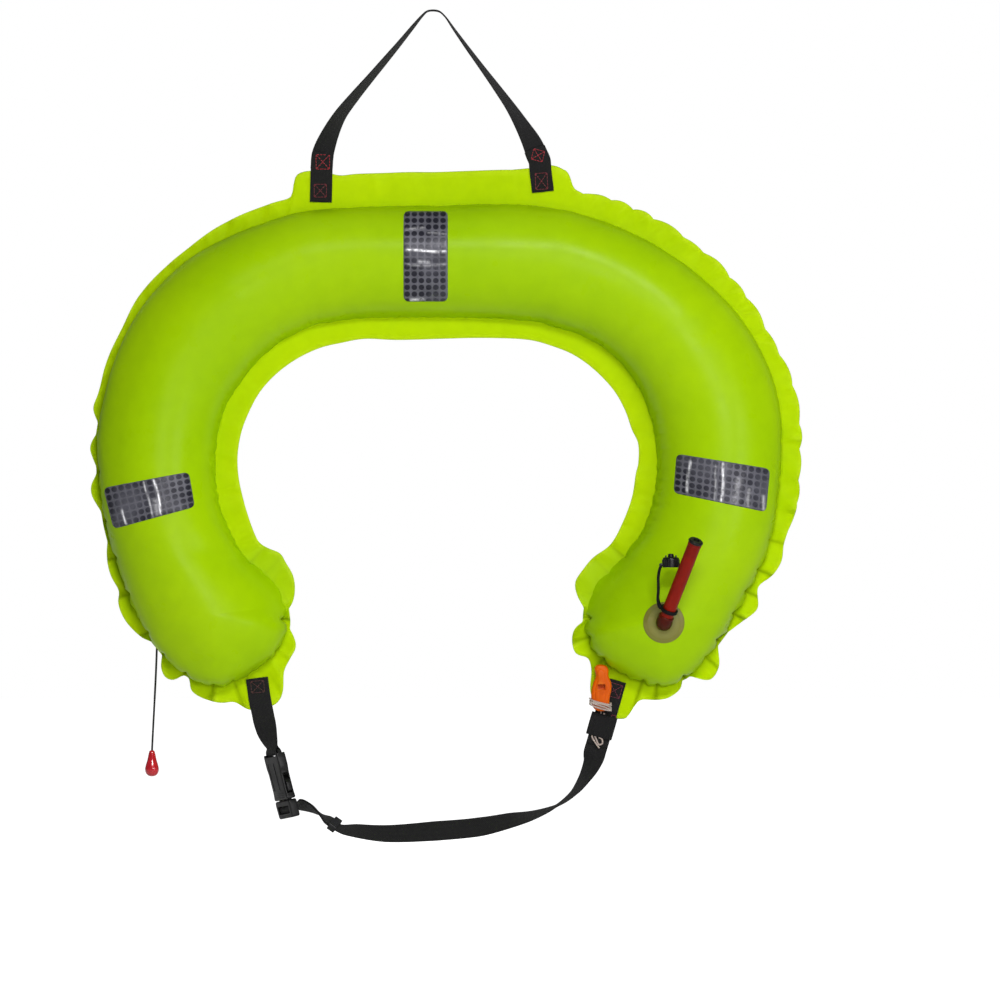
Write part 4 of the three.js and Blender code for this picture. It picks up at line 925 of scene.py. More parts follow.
CREASE_AT = crease_stations()
LOWER = np.clip((-400 - SEAM[:, 1]) / 150, 0, 1)                 # 1 low on the arms, 0 on top
OUTER = np.r_[np.ones(NA), np.ones(NT), np.zeros(NA), np.ones(NT)]


def near_to(x, z, reach):
    """1 at [x, z], falling to 0 past `reach` mm, for every station."""
    return np.exp(-(np.hypot(SEAM[:, 0] - x, SEAM[:, 1] - z) / reach) ** 4)


def region(x_span, z_span, outer=None, sigma=9):
    """Soft mask of the stations in a rectangle; outer picks the outer or the inner weld."""
    x, z = SEAM[:, 0], SEAM[:, 1]
    inside = (x > x_span[0]) & (x < x_span[1]) & (z > z_span[0]) & (z < z_span[1])
    if outer is not None:
        inside &= (OUTER > 0) == outer
    return smooth_closed(inside.astype(float), sigma)


LEFT_OUTER = region((-420, -250), (-800, -330), True)
RIGHT_OUTER = region((250, 460), (-800, -400), True)
ARM_ENDS = region((-420, 460), (-820, -690))
# where the welded lobe swells straight out of the tube, with no line between them
SOFT = np.clip(near_to(-176, -630, 46) + near_to(176, -640, 44), 0, 1)
# how far the tube hangs over its own weld, as a part of its half width
OVERHANG = (0.012 + 0.050 * LEFT_OUTER + 0.028 * RIGHT_OUTER + 0.030 * ARM_ENDS
            + 0.012 * region((-420, -100), (-420, -220), True)) * (1 - SOFT)
# fine lines that run in from the inner weld where the tube bends most
DRAWN = (region((-230, -130), (-560, -430), False) + region((170, 300), (-590, -440), False)
         + 0.5 * region((-240, -60), (-430, -330), False))
# where the tube rests on its flange and shades it
CONTACT = np.clip(1.0 * LEFT_OUTER + 0.55 * RIGHT_OUTER + 0.6 * ARM_ENDS, 0, 1) * (1 - SOFT)
SHOULDERS = (region((130, 400), (-420, -190), True, 14)
             + region((-400, -150), (-420, -200), True, 14))
ARCHED = region((130, 430), (-540, -190), True, 14)              # right shoulder, see scallops
PUCKERS = loop_noise(15, 1.0, seed=11)                           # along the weld
# kept flat for the strap ends: x, z, radius
STRAP_ENDS = ((-125, -198, 26), (121.5, -192, 26), (-195, -764, 20), (196, -766, 20))


def lobe_wave(phase):
    """Every lobe leans from front to back and meets the next in a short steep step."""
    step = 0.18
    q = np.mod(phase + step / 2, 1.0)
    up = np.clip(q / step, 0, 1)
    up = up * up * (3 - 2 * up)
    return np.where(q < step, -1 + 2 * up, np.cos(math.pi * (q - step) / (1 - step)))


def scallops():
    """Small arcs between short folds: how far the edge stands out, and where the folds lie."""
    rnd = np.random.default_rng(77)
    marks = np.cumsum(rnd.uniform(23, 40, int(LOOP / 20)))
    marks = np.r_[0, marks[marks < LOOP - 20], LOOP]
    phase = np.interp(ARC, marks, np.arange(len(marks)))
    size = rnd.uniform(0.55, 1.25, len(marks) + 1)[np.floor(phase).astype(int)]
    arcs = np.abs(np.sin(math.pi * phase)) ** 0.8
    notch = np.exp(-((phase - np.round(phase)) / 0.12) ** 2)
    return 3.2 * arcs * size - 1.9, notch


def lobe_phase():
    """Counts lobes round the loop: they meet at the creases and, between, about 38 mm apart."""
    marks = sorted(ARC[k] for k, _ in CREASE_AT)
    joints = []
    for a, b in zip(marks, marks[1:] + [marks[0] + LOOP]):
        count = 1 if b - a < 62 else max(1, int(round((b - a) / 38)))
        joints += [a + (b - a) * q / count for q in range(count)]
    joints = np.array(joints + [joints[0] + LOOP])
    rnd = np.random.default_rng(21)
    on_crease = np.isin(np.round(np.mod(joints, LOOP), 3), np.round(marks, 3))
    jitter = np.where(on_crease, 0, rnd.uniform(-7, 7, len(joints)))
    jitter[-1] = jitter[0]
    joints = joints + jitter
    along = np.where(ARC < joints[0], ARC + LOOP, ARC)
    return np.interp(along, joints, np.arange(len(joints)))


def flange_wave():
    """How far the flange's edge waves from front to back at every station."""
    phase = lobe_phase()
    stepped = 0.75 * OUTER * np.clip((-330 - SEAM[:, 1]) / 120, 0, 1)
    wave = np.cos(2 * math.pi * phase) * (1 - stepped) + lobe_wave(phase) * stepped
    height = np.where(OUTER > 0, 2.2 + 4.4 * LOWER, 0.35 + 1.3 * LOWER)
    top = (np.abs(SEAM[:, 0]) < 175) & (SEAM[:, 1] > -300) & (OUTER > 0)
    height = np.where(top, 0.5, height)
    middle = SEAM + OUTWARD * REACH[:, None] * 0.6
    for x, z, radius in STRAP_ENDS:
        d = np.hypot(middle[:, 0] - x, middle[:, 1] - z)
        height = height * np.clip((d - radius) / 14, 0.0, 1)
    height = smooth_closed(height, 5) * (1 + loop_noise(90, 0.25, seed=3))
    return height * (wave + loop_noise(17, 0.10, seed=5))


def dome_rows(creased):
    """Rows of the tube from beside its ridge to the weld, on the front (-1) and back (1)."""
    angles = np.linspace(0, math.pi / 2, DOME_ROWS + 1)[1:]
    angles = math.pi / 2 * np.sin(angles) ** 0.85                # closer together near the weld
    ridge = RIDGE[OWNER]
    away = SEAM - ridge
    fine = loop_noise(7.5, 1.0, seed=12)
    lines = np.clip(loop_noise(11, 1.0, seed=17) - 0.2, 0, 1.6)
    sharp = np.zeros(NS)                                         # the crease itself
    wide = np.zeros(NS)                                          # the swell on both sides of it
    for k, strength in CREASE_AT:
        d = distance_along(k)
        sharp -= strength ** 1.5 * np.exp(-(d / 2.4) ** 2)
        wide += strength * (np.exp(-((d - 11) / 8.0) ** 2) - 0.8 * np.exp(-(d / 8.0) ** 2))
    ease = (1 - SOFT * 0.8) * (1.0 if creased else 0.0)
    rows = {-1: [], 1: []}
    for angle in angles:
        h = angle / (math.pi / 2)                                # 0 at the ridge, 1 at the weld
        deep = np.clip((h - 0.66) / 0.30, 0, 1) ** 1.5
        at_weld = np.clip((h - 0.96) / 0.04, 0, 1)
        short = np.clip((h - 0.74) / 0.22, 0, 1) ** 1.4 * (1 - 0.5 * at_weld)
        over = math.sin(math.pi * min(max((h - 0.42) / 0.58, 0), 1)) ** 1.3
        scale = 1 + 0.100 * sharp * deep * ease + 0.022 * wide * short * ease
        scale += (0.0050 * PUCKERS * (0.3 + LOWER) + 0.0022 * fine) * short * ease
        if creased:
            scale -= 0.016 * lines * DRAWN * math.exp(-((h - 0.80) / 0.15) ** 2)
        p = ridge + away * (math.sin(angle) * (scale + OVERHANG * over))[:, None]
        fall = np.power(max(math.cos(angle), 0.0), 1 + 1.1 * SOFT)
        y = WELD_HALF + (HIGH[OWNER] - WELD_HALF) * fall * scale
        for side in (-1, 1):
            rows[side].append(np.stack([p[:, 0], side * y, p[:, 1]], 1))
    return rows


def flange_rows(weld):
    """Rows of the flange from the weld outwards, front (-1) and back (1), and its edge (0)."""
    fold = np.clip(1 - np.abs(loop_noise(64, 1.0, seed=31)) / 0.42, 0, 1) ** 1.5
    arcs, notch = scallops()
    wave = flange_wave()
    rows = {-1: [], 0: [], 1: []}
    for t in FLANGE_AT[1:]:
        edge = SEAM + OUTWARD * (REACH + ARCHED * arcs * t)[:, None]
        p = weld + (edge - weld) * t
        y = wave * np.clip(t - 0.04, 0, 1) ** 1.15
        pucker_size = np.where(OUTER > 0, 0.25 + 0.75 * LOWER, 0.15 + 0.5 * LOWER)
        y += PUCKERS * 0.30 * math.sin(math.pi * t) * pucker_size
        slanted = np.roll(fold, int(round(5 * t)))               # folds cross at a slant
        swell = math.sin(math.pi * min(t, 0.80) * 0.85)
        y += SHOULDERS * (slanted * 2.4 + 0.25 * PUCKERS) * swell * OUTER
        y += ARCHED * np.roll(notch, int(round(4 * t))) * 2.4 * t ** 1.3
        half_thick = 1.05 - 0.35 * t
        for side in (0,) if t == 1 else (-1, 1):
            rows[side].append(np.stack([p[:, 0], y + side * half_thick, p[:, 1]], 1))
    return rows


def skin_rows(creased):
    """All rows: front dome, front flange, shared edge, back flange, back dome."""
    dome = dome_rows(creased)
    flange = flange_rows(dome[-1][-1][:, [0, 2]])
    return dome[-1] + flange[-1] + flange[0] + flange[1][::-1] + dome[1][::-1]


def flange_depth(row, row_count):
    """Rows into the flange, below 0 on the domes."""
    return min(row, row_count - 1 - row) - DOME_ROWS


def shadow_at(depth):
    """How deep in a fold or under the tube each station of a row lies, 0 to 1."""
    out = np.zeros(NS)
    if depth < -5:
        return out
    on_flange = depth >= 0
    t = FLANGE_AT[min(depth + 1, len(FLANGE_AT) - 1)] if on_flange else 0.0
    fade = (1 - 0.55 * t) if on_flange else max(0.0, 1 + depth / 5) ** 0.8
    for k, strength in CREASE_AT:
        if strength >= 0.55:
            line = np.exp(-(distance_along(k) / 1.9) ** 2)
            out += min(1.0, 0.75 * strength) * line * fade * (1 - 0.85 * SOFT)
    if on_flange:
        out += CONTACT * np.exp(-(t * REACH / 2.6) ** 2)
    return np.clip(out, 0, 1)


def skin_faces(owner, ridge_count, row_count):
    """Faces over the front ridge, the rows and the back ridge, in that vertex order."""
    stations = len(owner)
    last_row = ridge_count + (row_count - 1) * stations
    faces = []
    for row in range(ridge_count, last_row, stations):
        faces += band(row, row + stations, stations)
    for ridge, row, flip in ((0, ridge_count, False), (last_row + stations, last_row, True)):
        for k in range(stations):
            j = (k + 1) % stations
            face = [ridge + owner[k], ridge + owner[j], row + j, row + k]
            if face[0] == face[1]:
                face = face[1:]
            faces.append(face[::-1] if flip else face)
    return faces


def settle(ridge_front, rows, ridge_back):
    """Swells the skin as cloth on every second station and row.

    Returns how far each point of the front ridge, the rows and the back ridge moves, in mm.
    """
    frames = 20
    largest_move = 7.0
    picked_rows = range(0, len(rows), 2)                         # the row count is odd
    inner = NA + NT
    pick = np.r_[np.arange(0, NA, 2), NA + np.arange(0, NT, 2),
                 inner + np.arange(1, NA, 2), inner + NA + np.arange(0, NT, 2)]
    owner = np.minimum(OWNER[pick] // 2, NA // 2 - 1)
    ridge_at = np.arange(0, NA, 2)
    nr, ns = len(ridge_at), len(pick)
    v = np.vstack([ridge_front[ridge_at]] + [rows[r][pick] for r in picked_rows]
                  + [ridge_back[ridge_at]])
    obj = new_part(v, skin_faces(owner, nr, len(picked_rows)))
    # the flange is held, and so is the tube near the soft lobes
    hold = np.zeros(len(v))
    for q, r in enumerate(picked_rows):
        depth = flange_depth(r, len(rows))
        soft = SOFT[pick] * np.clip((depth + 14) / 8, 0, 1)
        hold[nr + q * ns: nr + (q + 1) * ns] = 1.0 if depth >= -1 else soft
    pin = obj.vertex_groups.new(name="pin")
    for i, weight in enumerate(hold):
        if weight > 0:
            pin.add([i], float(weight), "REPLACE")
    cloth = obj.modifiers.new("cloth", "CLOTH")
    s = cloth.settings
    s.quality = 5
    s.mass = 0.25
    s.tension_stiffness = 18
    s.compression_stiffness = 12
    s.shear_stiffness = 6
    s.bending_stiffness = 0.04
    s.tension_damping = 8
    s.compression_damping = 8
    s.shear_damping = 8
    s.air_damping = 4
    s.use_pressure = True
    s.uniform_pressure_force = 4.0
    s.vertex_group_mass = "pin"
    s.pin_stiffness = 4
    s.shrink_min = -0.013                                        # negative: the skin grows
    s.effector_weights.gravity = 0
    cloth.collision_settings.use_collision = False
    cloth.collision_settings.use_self_collision = False
    cloth.point_cache.frame_start = 1
    cloth.point_cache.frame_end = frames
    scene.frame_start = 1
    scene.frame_end = frames
    for f in range(1, frames + 1):
        scene.frame_set(f)
    deps = bpy.context.evaluated_depsgraph_get()
    done = obj.evaluated_get(deps).to_mesh()
    out = np.empty(len(done.vertices) * 3, np.float32)
    done.vertices.foreach_get("co", out)
    out = out.reshape(-1, 3).astype(float) / MM
    obj.evaluated_get(deps).to_mesh_clear()
    bpy.data.objects.remove(obj, do_unlink=True)
    scene.frame_set(1)
    move = out - v
    size = np.linalg.norm(move, axis=1)
    limit = largest_move * np.tanh(size / largest_move) / np.maximum(size, 1e-6)
    move *= limit[:, None]
    # back to every station and row
    arc = np.r_[ARC[pick], ARC[pick[0]] + LOOP]
    grid = move[nr:-nr].reshape(len(picked_rows), ns, 3)
    wide = [interp_rows(ARC, arc, np.vstack([row, row[:1]])) for row in grid]
    full = np.empty((len(rows), NS, 3))
    for r in range(len(rows)):
        i = min(r // 2, len(wide) - 2)
        t = (r - 2 * i) / 2
        full[r] = wide[i] * (1 - t) + wide[i + 1] * t
        # taut over the crown, puckered only towards the weld
        from_end = min(r, len(rows) - 1 - r)
        crown = 1 - min(max((from_end - 0.45 * DOME_ROWS) / (0.35 * DOME_ROWS), 0), 1)
        if crown > 0:
            full[r] = full[r] * (1 - crown) + smooth_closed(full[r], 13) * crown
    ends = []
    for ridge in (move[:nr], move[-nr:]):
        even = interp_rows(np.arange(NA), ridge_at, ridge)
        ends.append(np.stack([smooth_open(even[:, c], 13, 52) for c in range(3)], 1))
    return ends[0], full, ends[1]


def bladder_object():
    rows = skin_rows(creased=True)
    front = np.stack([RIDGE[:, 0], -HIGH, RIDGE[:, 1]], 1)
    back = np.stack([RIDGE[:, 0], HIGH, RIDGE[:, 1]], 1)
    to_front, to_rows, to_back = settle(front, skin_rows(creased=False), back)
    front = front + to_front
    rows = [row + move for row, move in zip(rows, to_rows)]
    back = back + to_back
    v = np.vstack([front] + rows + [back])
    # flange: 1 where two layers lie welded, fading in at the soft lobes; shade: see shadow_at
    weight = np.zeros(len(v), np.float32)
    shade = np.zeros(len(v), np.float32)
    for r in range(len(rows)):
        depth = flange_depth(r, len(rows))
        hard = 1.0 if depth >= 0 else 0.0
        easy = min(max((depth + 7) / 10, 0.0), 1.0)
        span = slice(NA + r * NS, NA + (r + 1) * NS)
        weight[span] = hard * (1 - SOFT) + 0.5 * easy * SOFT
        shade[span] = shadow_at(depth)
    obj = new_part(v, skin_faces(OWNER, NA, len(rows)), LIME)
    set_attribute(obj, "flange", weight)
    set_attribute(obj, "shade", shade)
    return obj


bladder = finish(bladder_object(), "bladder_skin", "bladder",
                 ("front_panel", "back_panel"))
SKIN = BVHTree.FromObject(bladder, bpy.context.evaluated_depsgraph_get())


def on_skin(x, z, side):
    """The bladder's surface at [x, z], on the front (side -1) or the back (1)."""
    hit = SKIN.ray_cast(Vector((x * MM, side * 0.3, z * MM)), Vector((0, -side, 0)))[0]
    return np.array(hit) / MM


# ------------------------------------------------------------------ reflective patches
def smooth_grid(p):
    q = p.copy()
    q[1:-1, 1:-1] = (p[:-2, 1:-1] + p[2:, 1:-1] + p[1:-1, :-2] + p[1:-1, 2:]
                     + 4 * p[1:-1, 1:-1]) / 8
    for row in (0, -1):
        q[row, 1:-1] = (p[row, :-2] + p[row, 2:] + 2 * p[row, 1:-1]) / 4
        q[1:-1, row] = (p[:-2, row] + p[2:, row] + 2 * p[1:-1, row]) / 4
    return q


def patch(corners, glints, nu, nv):
    """Film on the front of the tube: a thin sheet with rounded corners, nu by nv points."""
    radius = 5.5
    c = np.array(corners, float)
    wide = (np.linalg.norm(c[1] - c[0]) + np.linalg.norm(c[2] - c[3])) / 2
    tall = (np.linalg.norm(c[3] - c[0]) + np.linalg.norm(c[2] - c[1])) / 2
    top, uv = [], []
    for u in np.linspace(0, 1, nu):
        for v in np.linspace(0, 1, nv):
            x, y = u * wide, v * tall
            in_x, in_y = radius - min(x, wide - x), radius - min(y, tall - y)
            if in_x > 0 and in_y > 0:                            # pull the square corner in
                pull = max(in_x, in_y) / math.hypot(in_x, in_y)
                from_x, from_y = radius - in_x * pull, radius - in_y * pull
                x = from_x if x < wide / 2 else wide - from_x
                y = from_y if y < tall / 2 else tall - from_y
            a, b = x / wide, y / tall
            p = ((1 - a) * (1 - b) * c[0] + a * (1 - b) * c[1]
                 + a * b * c[2] + (1 - a) * b * c[3])
            top.append(on_skin(*p, -1))
            uv.append((x, y))
    pts = smooth_grid(smooth_grid(np.array(top).reshape(nu, nv, 3)))
    normal = unit(np.cross(np.gradient(pts, axis=0), np.gradient(pts, axis=1)))
    normal *= np.where(normal[:, :, 1:2] > 0, -1.0, 1.0)
    i, j = np.arange(nu), np.arange(nv)
    edge = np.minimum.outer(np.minimum(i, i[::-1]), np.minimum(j, j[::-1]))
    lift = np.where(edge == 0, 0.30, np.where(edge == 1, 0.52, 0.62))
    up = pts + normal * lift[:, :, None]
    down = pts - normal * 0.5
    faces = []
    n = nu * nv
    for i in range(nu - 1):
        for j in range(nv - 1):
            a = i * nv + j
            b, d, e = a + nv, a + nv + 1, a + 1
            faces.append([a, b, d, e])
            faces.append([n + a, n + e, n + d, n + b])
    rim = [i * nv for i in range(nu)]
    rim += [(nu - 1) * nv + j for j in range(1, nv)]
    rim += [i * nv + nv - 1 for i in range(nu - 2, -1, -1)]
    rim += list(range(nv - 2, 0, -1))
    for a, b in zip(rim, rim[1:] + rim[:1]):
        faces.append([a, b, n + b, n + a])
    uvs = np.array(uv + uv)
    obj = new_part(np.vstack([up.reshape(-1, 3), down.reshape(-1, 3)]), faces, TAPE, uv=uvs)
    shine = np.zeros(2 * n, np.float32)
    parts = uvs / (wide, tall)
    for axis, at, width, amount, lo, hi in glints:
        across, along = (parts[:, 0], parts[:, 1]) if axis == "x" else (parts[:, 1], parts[:, 0])
        bow = 0.010 * np.sin(math.pi * along * 1.6 + at * 9)
        inside = np.clip((along - lo) / 0.06, 0, 1) * np.clip((hi - along) / 0.06, 0, 1)
        streak = amount * np.exp(-(((across - at - bow) / width) ** 2)) * inside
        shine += streak.astype(np.float32)
    set_attribute(obj, "glint", np.clip(shine, 0, 1))
    return obj


# Corners [x, z], grid, and streaks of light: the axis they lie across, their place on it, width
# and strength, and where they start and end along the other axis; all as parts of the patch.
PATCHES = {
    "top": ([[-32.5, -224.0], [16.8, -224.0], [16.8, -324.8], [-32.5, -324.8]], (40, 70), [
        ("y", 0.20, 0.012, 0.35, 0.02, 0.5), ("y", 0.255, 0.010, 0.25, 0.5, 1.0),
        ("y", 0.445, 0.011, 1.0, 0.03, 0.98), ("y", 0.56, 0.016, 0.5, 0.30, 0.62),
        ("y", 0.60, 0.012, 0.25, 0.0, 1.0), ("y", 0.985, 0.014, 0.8, 0.12, 0.5)]),
    "left": ([[-367.9, -533.1], [-272.2, -515.2], [-265.4, -554.4], [-356.2, -579.0]], (70, 34), [
        ("x", 0.485, 0.008, 0.6, 0.0, 1.0), ("x", 0.60, 0.010, 1.0, 0.0, 1.0),
        ("x", 0.165, 0.010, 0.9, 0.55, 1.0), ("x", 0.55, 0.03, 0.30, 0.5, 1.0)]),
    "right": ([[272.2, -495.0], [376.3, -511.8], [371.8, -560.0], [268.8, -538.7]], (70, 34), [
        ("x", 0.145, 0.009, 0.9, 0.08, 0.95), ("x", 0.43, 0.008, 0.35, 0.1, 1.0),
        ("x", 0.505, 0.010, 0.95, 0.0, 1.0), ("x", 0.66, 0.03, 0.22, 0.3, 1.0),
        ("x", 0.80, 0.018, 0.30, 0.5, 1.0), ("x", 0.96, 0.014, 0.45, 0.6, 1.0)]),
}
for where, (corners, grid, glints) in PATCHES.items():
    finish(patch(corners, glints, *grid), f"tape_{where}", "bladder",
           (f"reflective_patch_{where}",))


# ------------------------------------------------------------------ weld discs
def disc_on_skin(x, z, side, radius, hole):
    """Round disc lying on the bladder, feathered at its edge and raised round its hole."""
    rings, sides = 14, 72
    verts, ring_value = [], []
    for low in (False, True):
        for i in range(rings + 1):
            r = hole + (radius - hole) * i / rings
            height = (0.95 - 0.55 * (i / rings) ** 5 + 0.5 * math.exp(-((r - hole) / 2.2) ** 2)
                      + 0.28 * math.exp(-((r - radius * 0.80) / 0.9) ** 2))
            pale = (math.exp(-((r - radius * 0.62) / 4.0) ** 2) * 0.8
                    + (0.25 if r > radius * 0.86 else 0))
            for k in range(sides):
                t = 2 * math.pi * k / sides
                p = on_skin(x + r * math.cos(t), z + r * math.sin(t), side)
                verts.append(p + np.array([0, side, 0]) * (-0.6 if low else height))
                ring_value.append(pale)
    n = (rings + 1) * sides
    outer = rings * sides
    faces = []
    for a in range(0, outer, sides):
        for top, under in zip(band(a, a + sides, sides), band(n + a, n + a + sides, sides)):
            faces += [top, [under[0], *under[:0:-1]]]
    for walls in zip(band(0, n, sides), band(outer, n + outer, sides)):
        faces += walls
    obj = new_part(verts, faces, DISC)
    set_attribute(obj, "ring", ring_value)
    return obj


VALVE_AT = (257.6, -683.2)
finish(disc_on_skin(*VALVE_AT, -1, radius=23.0, hole=9.0), "oral_valve_disc",
       "bladder", ("oral_valve_flange",))


# ------------------------------------------------------------------ webbing
# A strap is a list of stations (point, width direction, thickness).
WEB_THICK = 1.8
THIN_WEB = 1.6       # doubled belt ends
LOOP_THICK = 1.45    # where a strap turns round a bar
FOLDED_WIDTH = 24.8


def split_stations(stations):
    points = np.array([s[0] for s in stations], float)
    widths = np.array([unit(s[1]) for s in stations])
    return points, widths, np.array([s[2] for s in stations], float)


def ribbon(stations, width=25.0, material=WEBBING, sections=26):
    """Flat woven strap with rounded edges; UV is [across, along] in mm."""
    p, w, thick = split_stations(stations)
    d = unit(np.gradient(p, axis=0))
    w = unit(w - d * (w * d).sum(1)[:, None])
    up = np.cross(d, w)
    along = path_length(p)
    verts, faces, uv = [], [], []
    n = len(p)
    for i in range(n):
        for k in range(sections):
            t = 2 * math.pi * (k + 0.5) / sections
            c, s = math.cos(t), math.sin(t)
            x = width / 2 * math.copysign(abs(c) ** 0.42, c)
            y = thick[i] / 2 * math.copysign(abs(s) ** 0.30, s)
            y *= 0.94 + 0.10 * math.cos(2 * math.pi * x / width)
            verts.append(p[i] + w[i] * x + up[i] * y)
            uv.append((x, along[i]))
    for i in range(n - 1):
        faces += band(i * sections, (i + 1) * sections, sections)
    for i, way in ((0, -1), (n - 1, 1)):
        verts.append(p[i] + d[i] * way * 0.25)
        uv.append((0, along[i]))
        faces += fan(i * sections, sections, len(verts) - 1)
    return new_part(verts, faces, material, uv=uv)


def densify(stations, step):
    """Smooth curve through points, directions and thickness together."""
    p, w, thick = split_stations(stations)
    dense = catmull(np.hstack([p, w * 30, thick[:, None]]), 12)
    along = path_length(dense[:, :3])
    keep = np.r_[True, np.diff(along) > 1e-6]
    dense, along = dense[keep], along[keep]
    at = np.linspace(0, along[-1], max(4, int(along[-1] / step)))
    return [(o[:3], o[3:6], max(0.8, o[6])) for o in interp_rows(at, along, dense)]


def offset_stations(stations, off):
    """Stations moved off the strap's face, along direction x width."""
    p, w, thick = split_stations(stations)
    up = unit(np.cross(unit(np.gradient(p, axis=0)), w))
    off = np.full(len(p), off, float)
    return [(p[i] + up[i] * off[i], w[i], thick[i]) for i in range(len(p))]


def turned_width(tangent, degrees):
    """Width direction square to a tangent in XZ, turned out of that plane by an angle."""
    plane = unit([-tangent[2], 0, tangent[0]])
    a = math.radians(degrees)
    return unit(plane * math.cos(a) + np.array([0, math.sin(a), 0]))


def bites(a, b):
    """Ends of the short visible stitches on a line from a to b."""
    length, gap = 2.7, 0.7
    total = np.linalg.norm(b - a)
    count = max(1, int(round(total / (length + gap))))
    d = (b - a) / total
    step = total / count
    return [(a + d * (i * step + gap / 2), a + d * ((i + 1) * step - gap / 2))
            for i in range(count)]


def thread_mesh(runs, normal, material):
    """Each stitch is a small arched thread, pulled in at its ends."""
    radius, sides, segments = 0.36, 6, 4
    verts, faces = [], []
    for start, end in runs:
        side = unit(np.cross(unit(end - start), normal))
        base = len(verts)
        for i in range(segments + 1):
            t = i / segments
            c = start + (end - start) * t + normal * (0.34 * math.sin(math.pi * t) - 0.12)
            for k in range(sides):
                a = 2 * math.pi * k / sides
                verts.append(c + side * radius * math.cos(a)
                             + normal * radius * 0.8 * math.sin(a))
        for i in range(segments):
            faces += band(base + i * sides, base + (i + 1) * sides, sides)
        faces.append([base + k for k in range(sides)])
        faces.append([base + segments * sides + k for k in range(sides)][::-1])
    return new_part(verts, faces, material)


def sew(name, strap, centre, across, width, height, face, material):
    """Box with a cross, sewn on a strap's front (face -1) or back (1).

    Returns a list of the one object, or an empty list where the rays miss the strap.
    """
    normal = np.array([0.0, face, 0.0])
    across = unit(across)
    down = np.array([-across[2], 0, across[0]])
    c = np.array(centre, float) + normal * 2.0
    q = [c + across * sx * width / 2 + down * sy * height / 2
         for sx, sy in ((-1, -1), (1, -1), (1, 1), (-1, 1))]
    lines = [(q[0], q[1]), (q[1], q[2]), (q[2], q[3]), (q[3], q[0]), (q[0], q[2]), (q[1], q[3])]
    tree = BVHTree.FromObject(strap, bpy.context.evaluated_depsgraph_get())
    out = Vector(normal)
    runs = []
    for line in lines:
        for bite in bites(*line):
            hits = [tree.ray_cast(Vector(p * MM) + out * 0.03, -out)[0] for p in bite]
            if None in hits:
                continue
            start, end = [np.array(hit) / MM for hit in hits]
            if np.linalg.norm(start - end) < 6:
                runs.append((start, end))
    if not runs:
        return []
    return [finish(thread_mesh(runs, normal, material), name)]


# ------------------------------------------------------------------ lifting strap
SEWN_OFF = 1.96      # from the strap's middle to the middle of each sewn layer
SIDEWAYS = [1, 0, 0]
CREST = (11, 12)     # the two stations on top, where the strap runs level
# columns: x, z, turn in degrees
LIFT_PATH = table("""
    -124.5 -171.3 0, -124.3 -166.5 1, -122.6 -156.2 18, -114.8 -135.9 42, -103.8 -115.4 58,
    -88.0 -95.0 66, -70.8 -74.6 72, -53.5 -54.1 76, -37.7 -35.3 80, -22.0 -16.0 84,
    -12.0 -4.2 88, -6.0 0.9 90, 6.0 0.9 90, 12.5 -4.0 92, 24.0 -20.0 96, 38.0 -39.5 100,
    55.0 -62.5 104, 72.0 -85.5 110, 88.0 -108.0 118, 101.0 -129.0 132, 110.5 -146.0 150,
    116.5 -160.0 165, 119.4 -166.5 179, 119.9 -171.3 180""")


def lift_stations():
    out = [([-124.9, 0, -176.0], SIDEWAYS, WEB_THICK)]
    last = len(LIFT_PATH) - 1
    for i, (x, z, turn) in enumerate(LIFT_PATH):
        dx, dz = (LIFT_PATH[min(i + 1, last)] - LIFT_PATH[max(i - 1, 0)])[:2]
        tangent = [1, 0, 0] if i in CREST else [dx, 0, dz]
        width = SIDEWAYS if i in (0, last) else turned_width(tangent, 180 - turn)
        out.append(([x, 0, z], width, WEB_THICK))
    out.append(([120.3, 0, -176.0], SIDEWAYS, WEB_THICK))
    return densify(out, 2.2)


# Sewn ends: the points [x, z] on the flange, the height up to which they follow the strap, and
# the two boxes of stitches: centre [x, z], slope, width, height.
LIFT_ENDS = {
    "left": ([[-125.6, -213.0], [-125.3, -202.0], [-125.0, -190.0], [-124.8, -180.0]], -157.0,
             ((-123.4, -168.0, 0, 15.0, 16.0), (-126.2, -200.2, 0, 13.6, 14.4))),
    "right": ([[123.2, -201.5], [122.3, -193.0], [121.2, -184.0], [120.5, -178.5]], -152.5,
              ((117.6, -160.6, -0.25, 12.6, 12.0), (121.4, -189.6, 0.05, 13.4, 18.0))),
}
LIFT = lift_stations()
lift_parts = [finish(ribbon(LIFT), "lift_strap_web", replaces=("lift_strap",))]
for side, (tab, top, boxes) in LIFT_ENDS.items():
    left = side == "left"
    half = [s for s in LIFT if (s[0][0] < 0) == left and -174 < s[0][2] < top]
    if not left:
        half = half[::-1]
    line = [([x, 0, z], SIDEWAYS, WEB_THICK) for x, z in tab]
    line = densify(line + [(p, width, WEB_THICK) for p, width, _ in half], 1.8)
    # going up, direction x width points to the back
    layers = {-1: "front", 1: "back"}
    sewn = {}
    for face, tag in layers.items():
        web = ribbon(offset_stations(line, face * SEWN_OFF), width=24.6)
        node = (f"lift_strap_anchor_{side}",) if tag == "front" else ()
        sewn[face] = finish(web, f"lift_tab_{side}_{tag}", replaces=node)
    lift_parts += sewn.values()
    for level, (x, z, slope, width, height), yarn in zip(
            ("upper", "lower"), boxes, (RED_THREAD, LOW_THREAD)):
        for face, tag in layers.items():
            lift_parts += sew(f"lift_stitch_{side}_{level}_{tag}", sewn[face], [x, 0, z],
                              [1, 0, slope], width, height, face, yarn)
for part in lift_parts:
    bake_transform(part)


# ------------------------------------------------------------------ belt, left side
HINGE_L = np.array([-190.6, 0, -786.5])
HINGE_R = np.array([181.7, 0, -827.4])
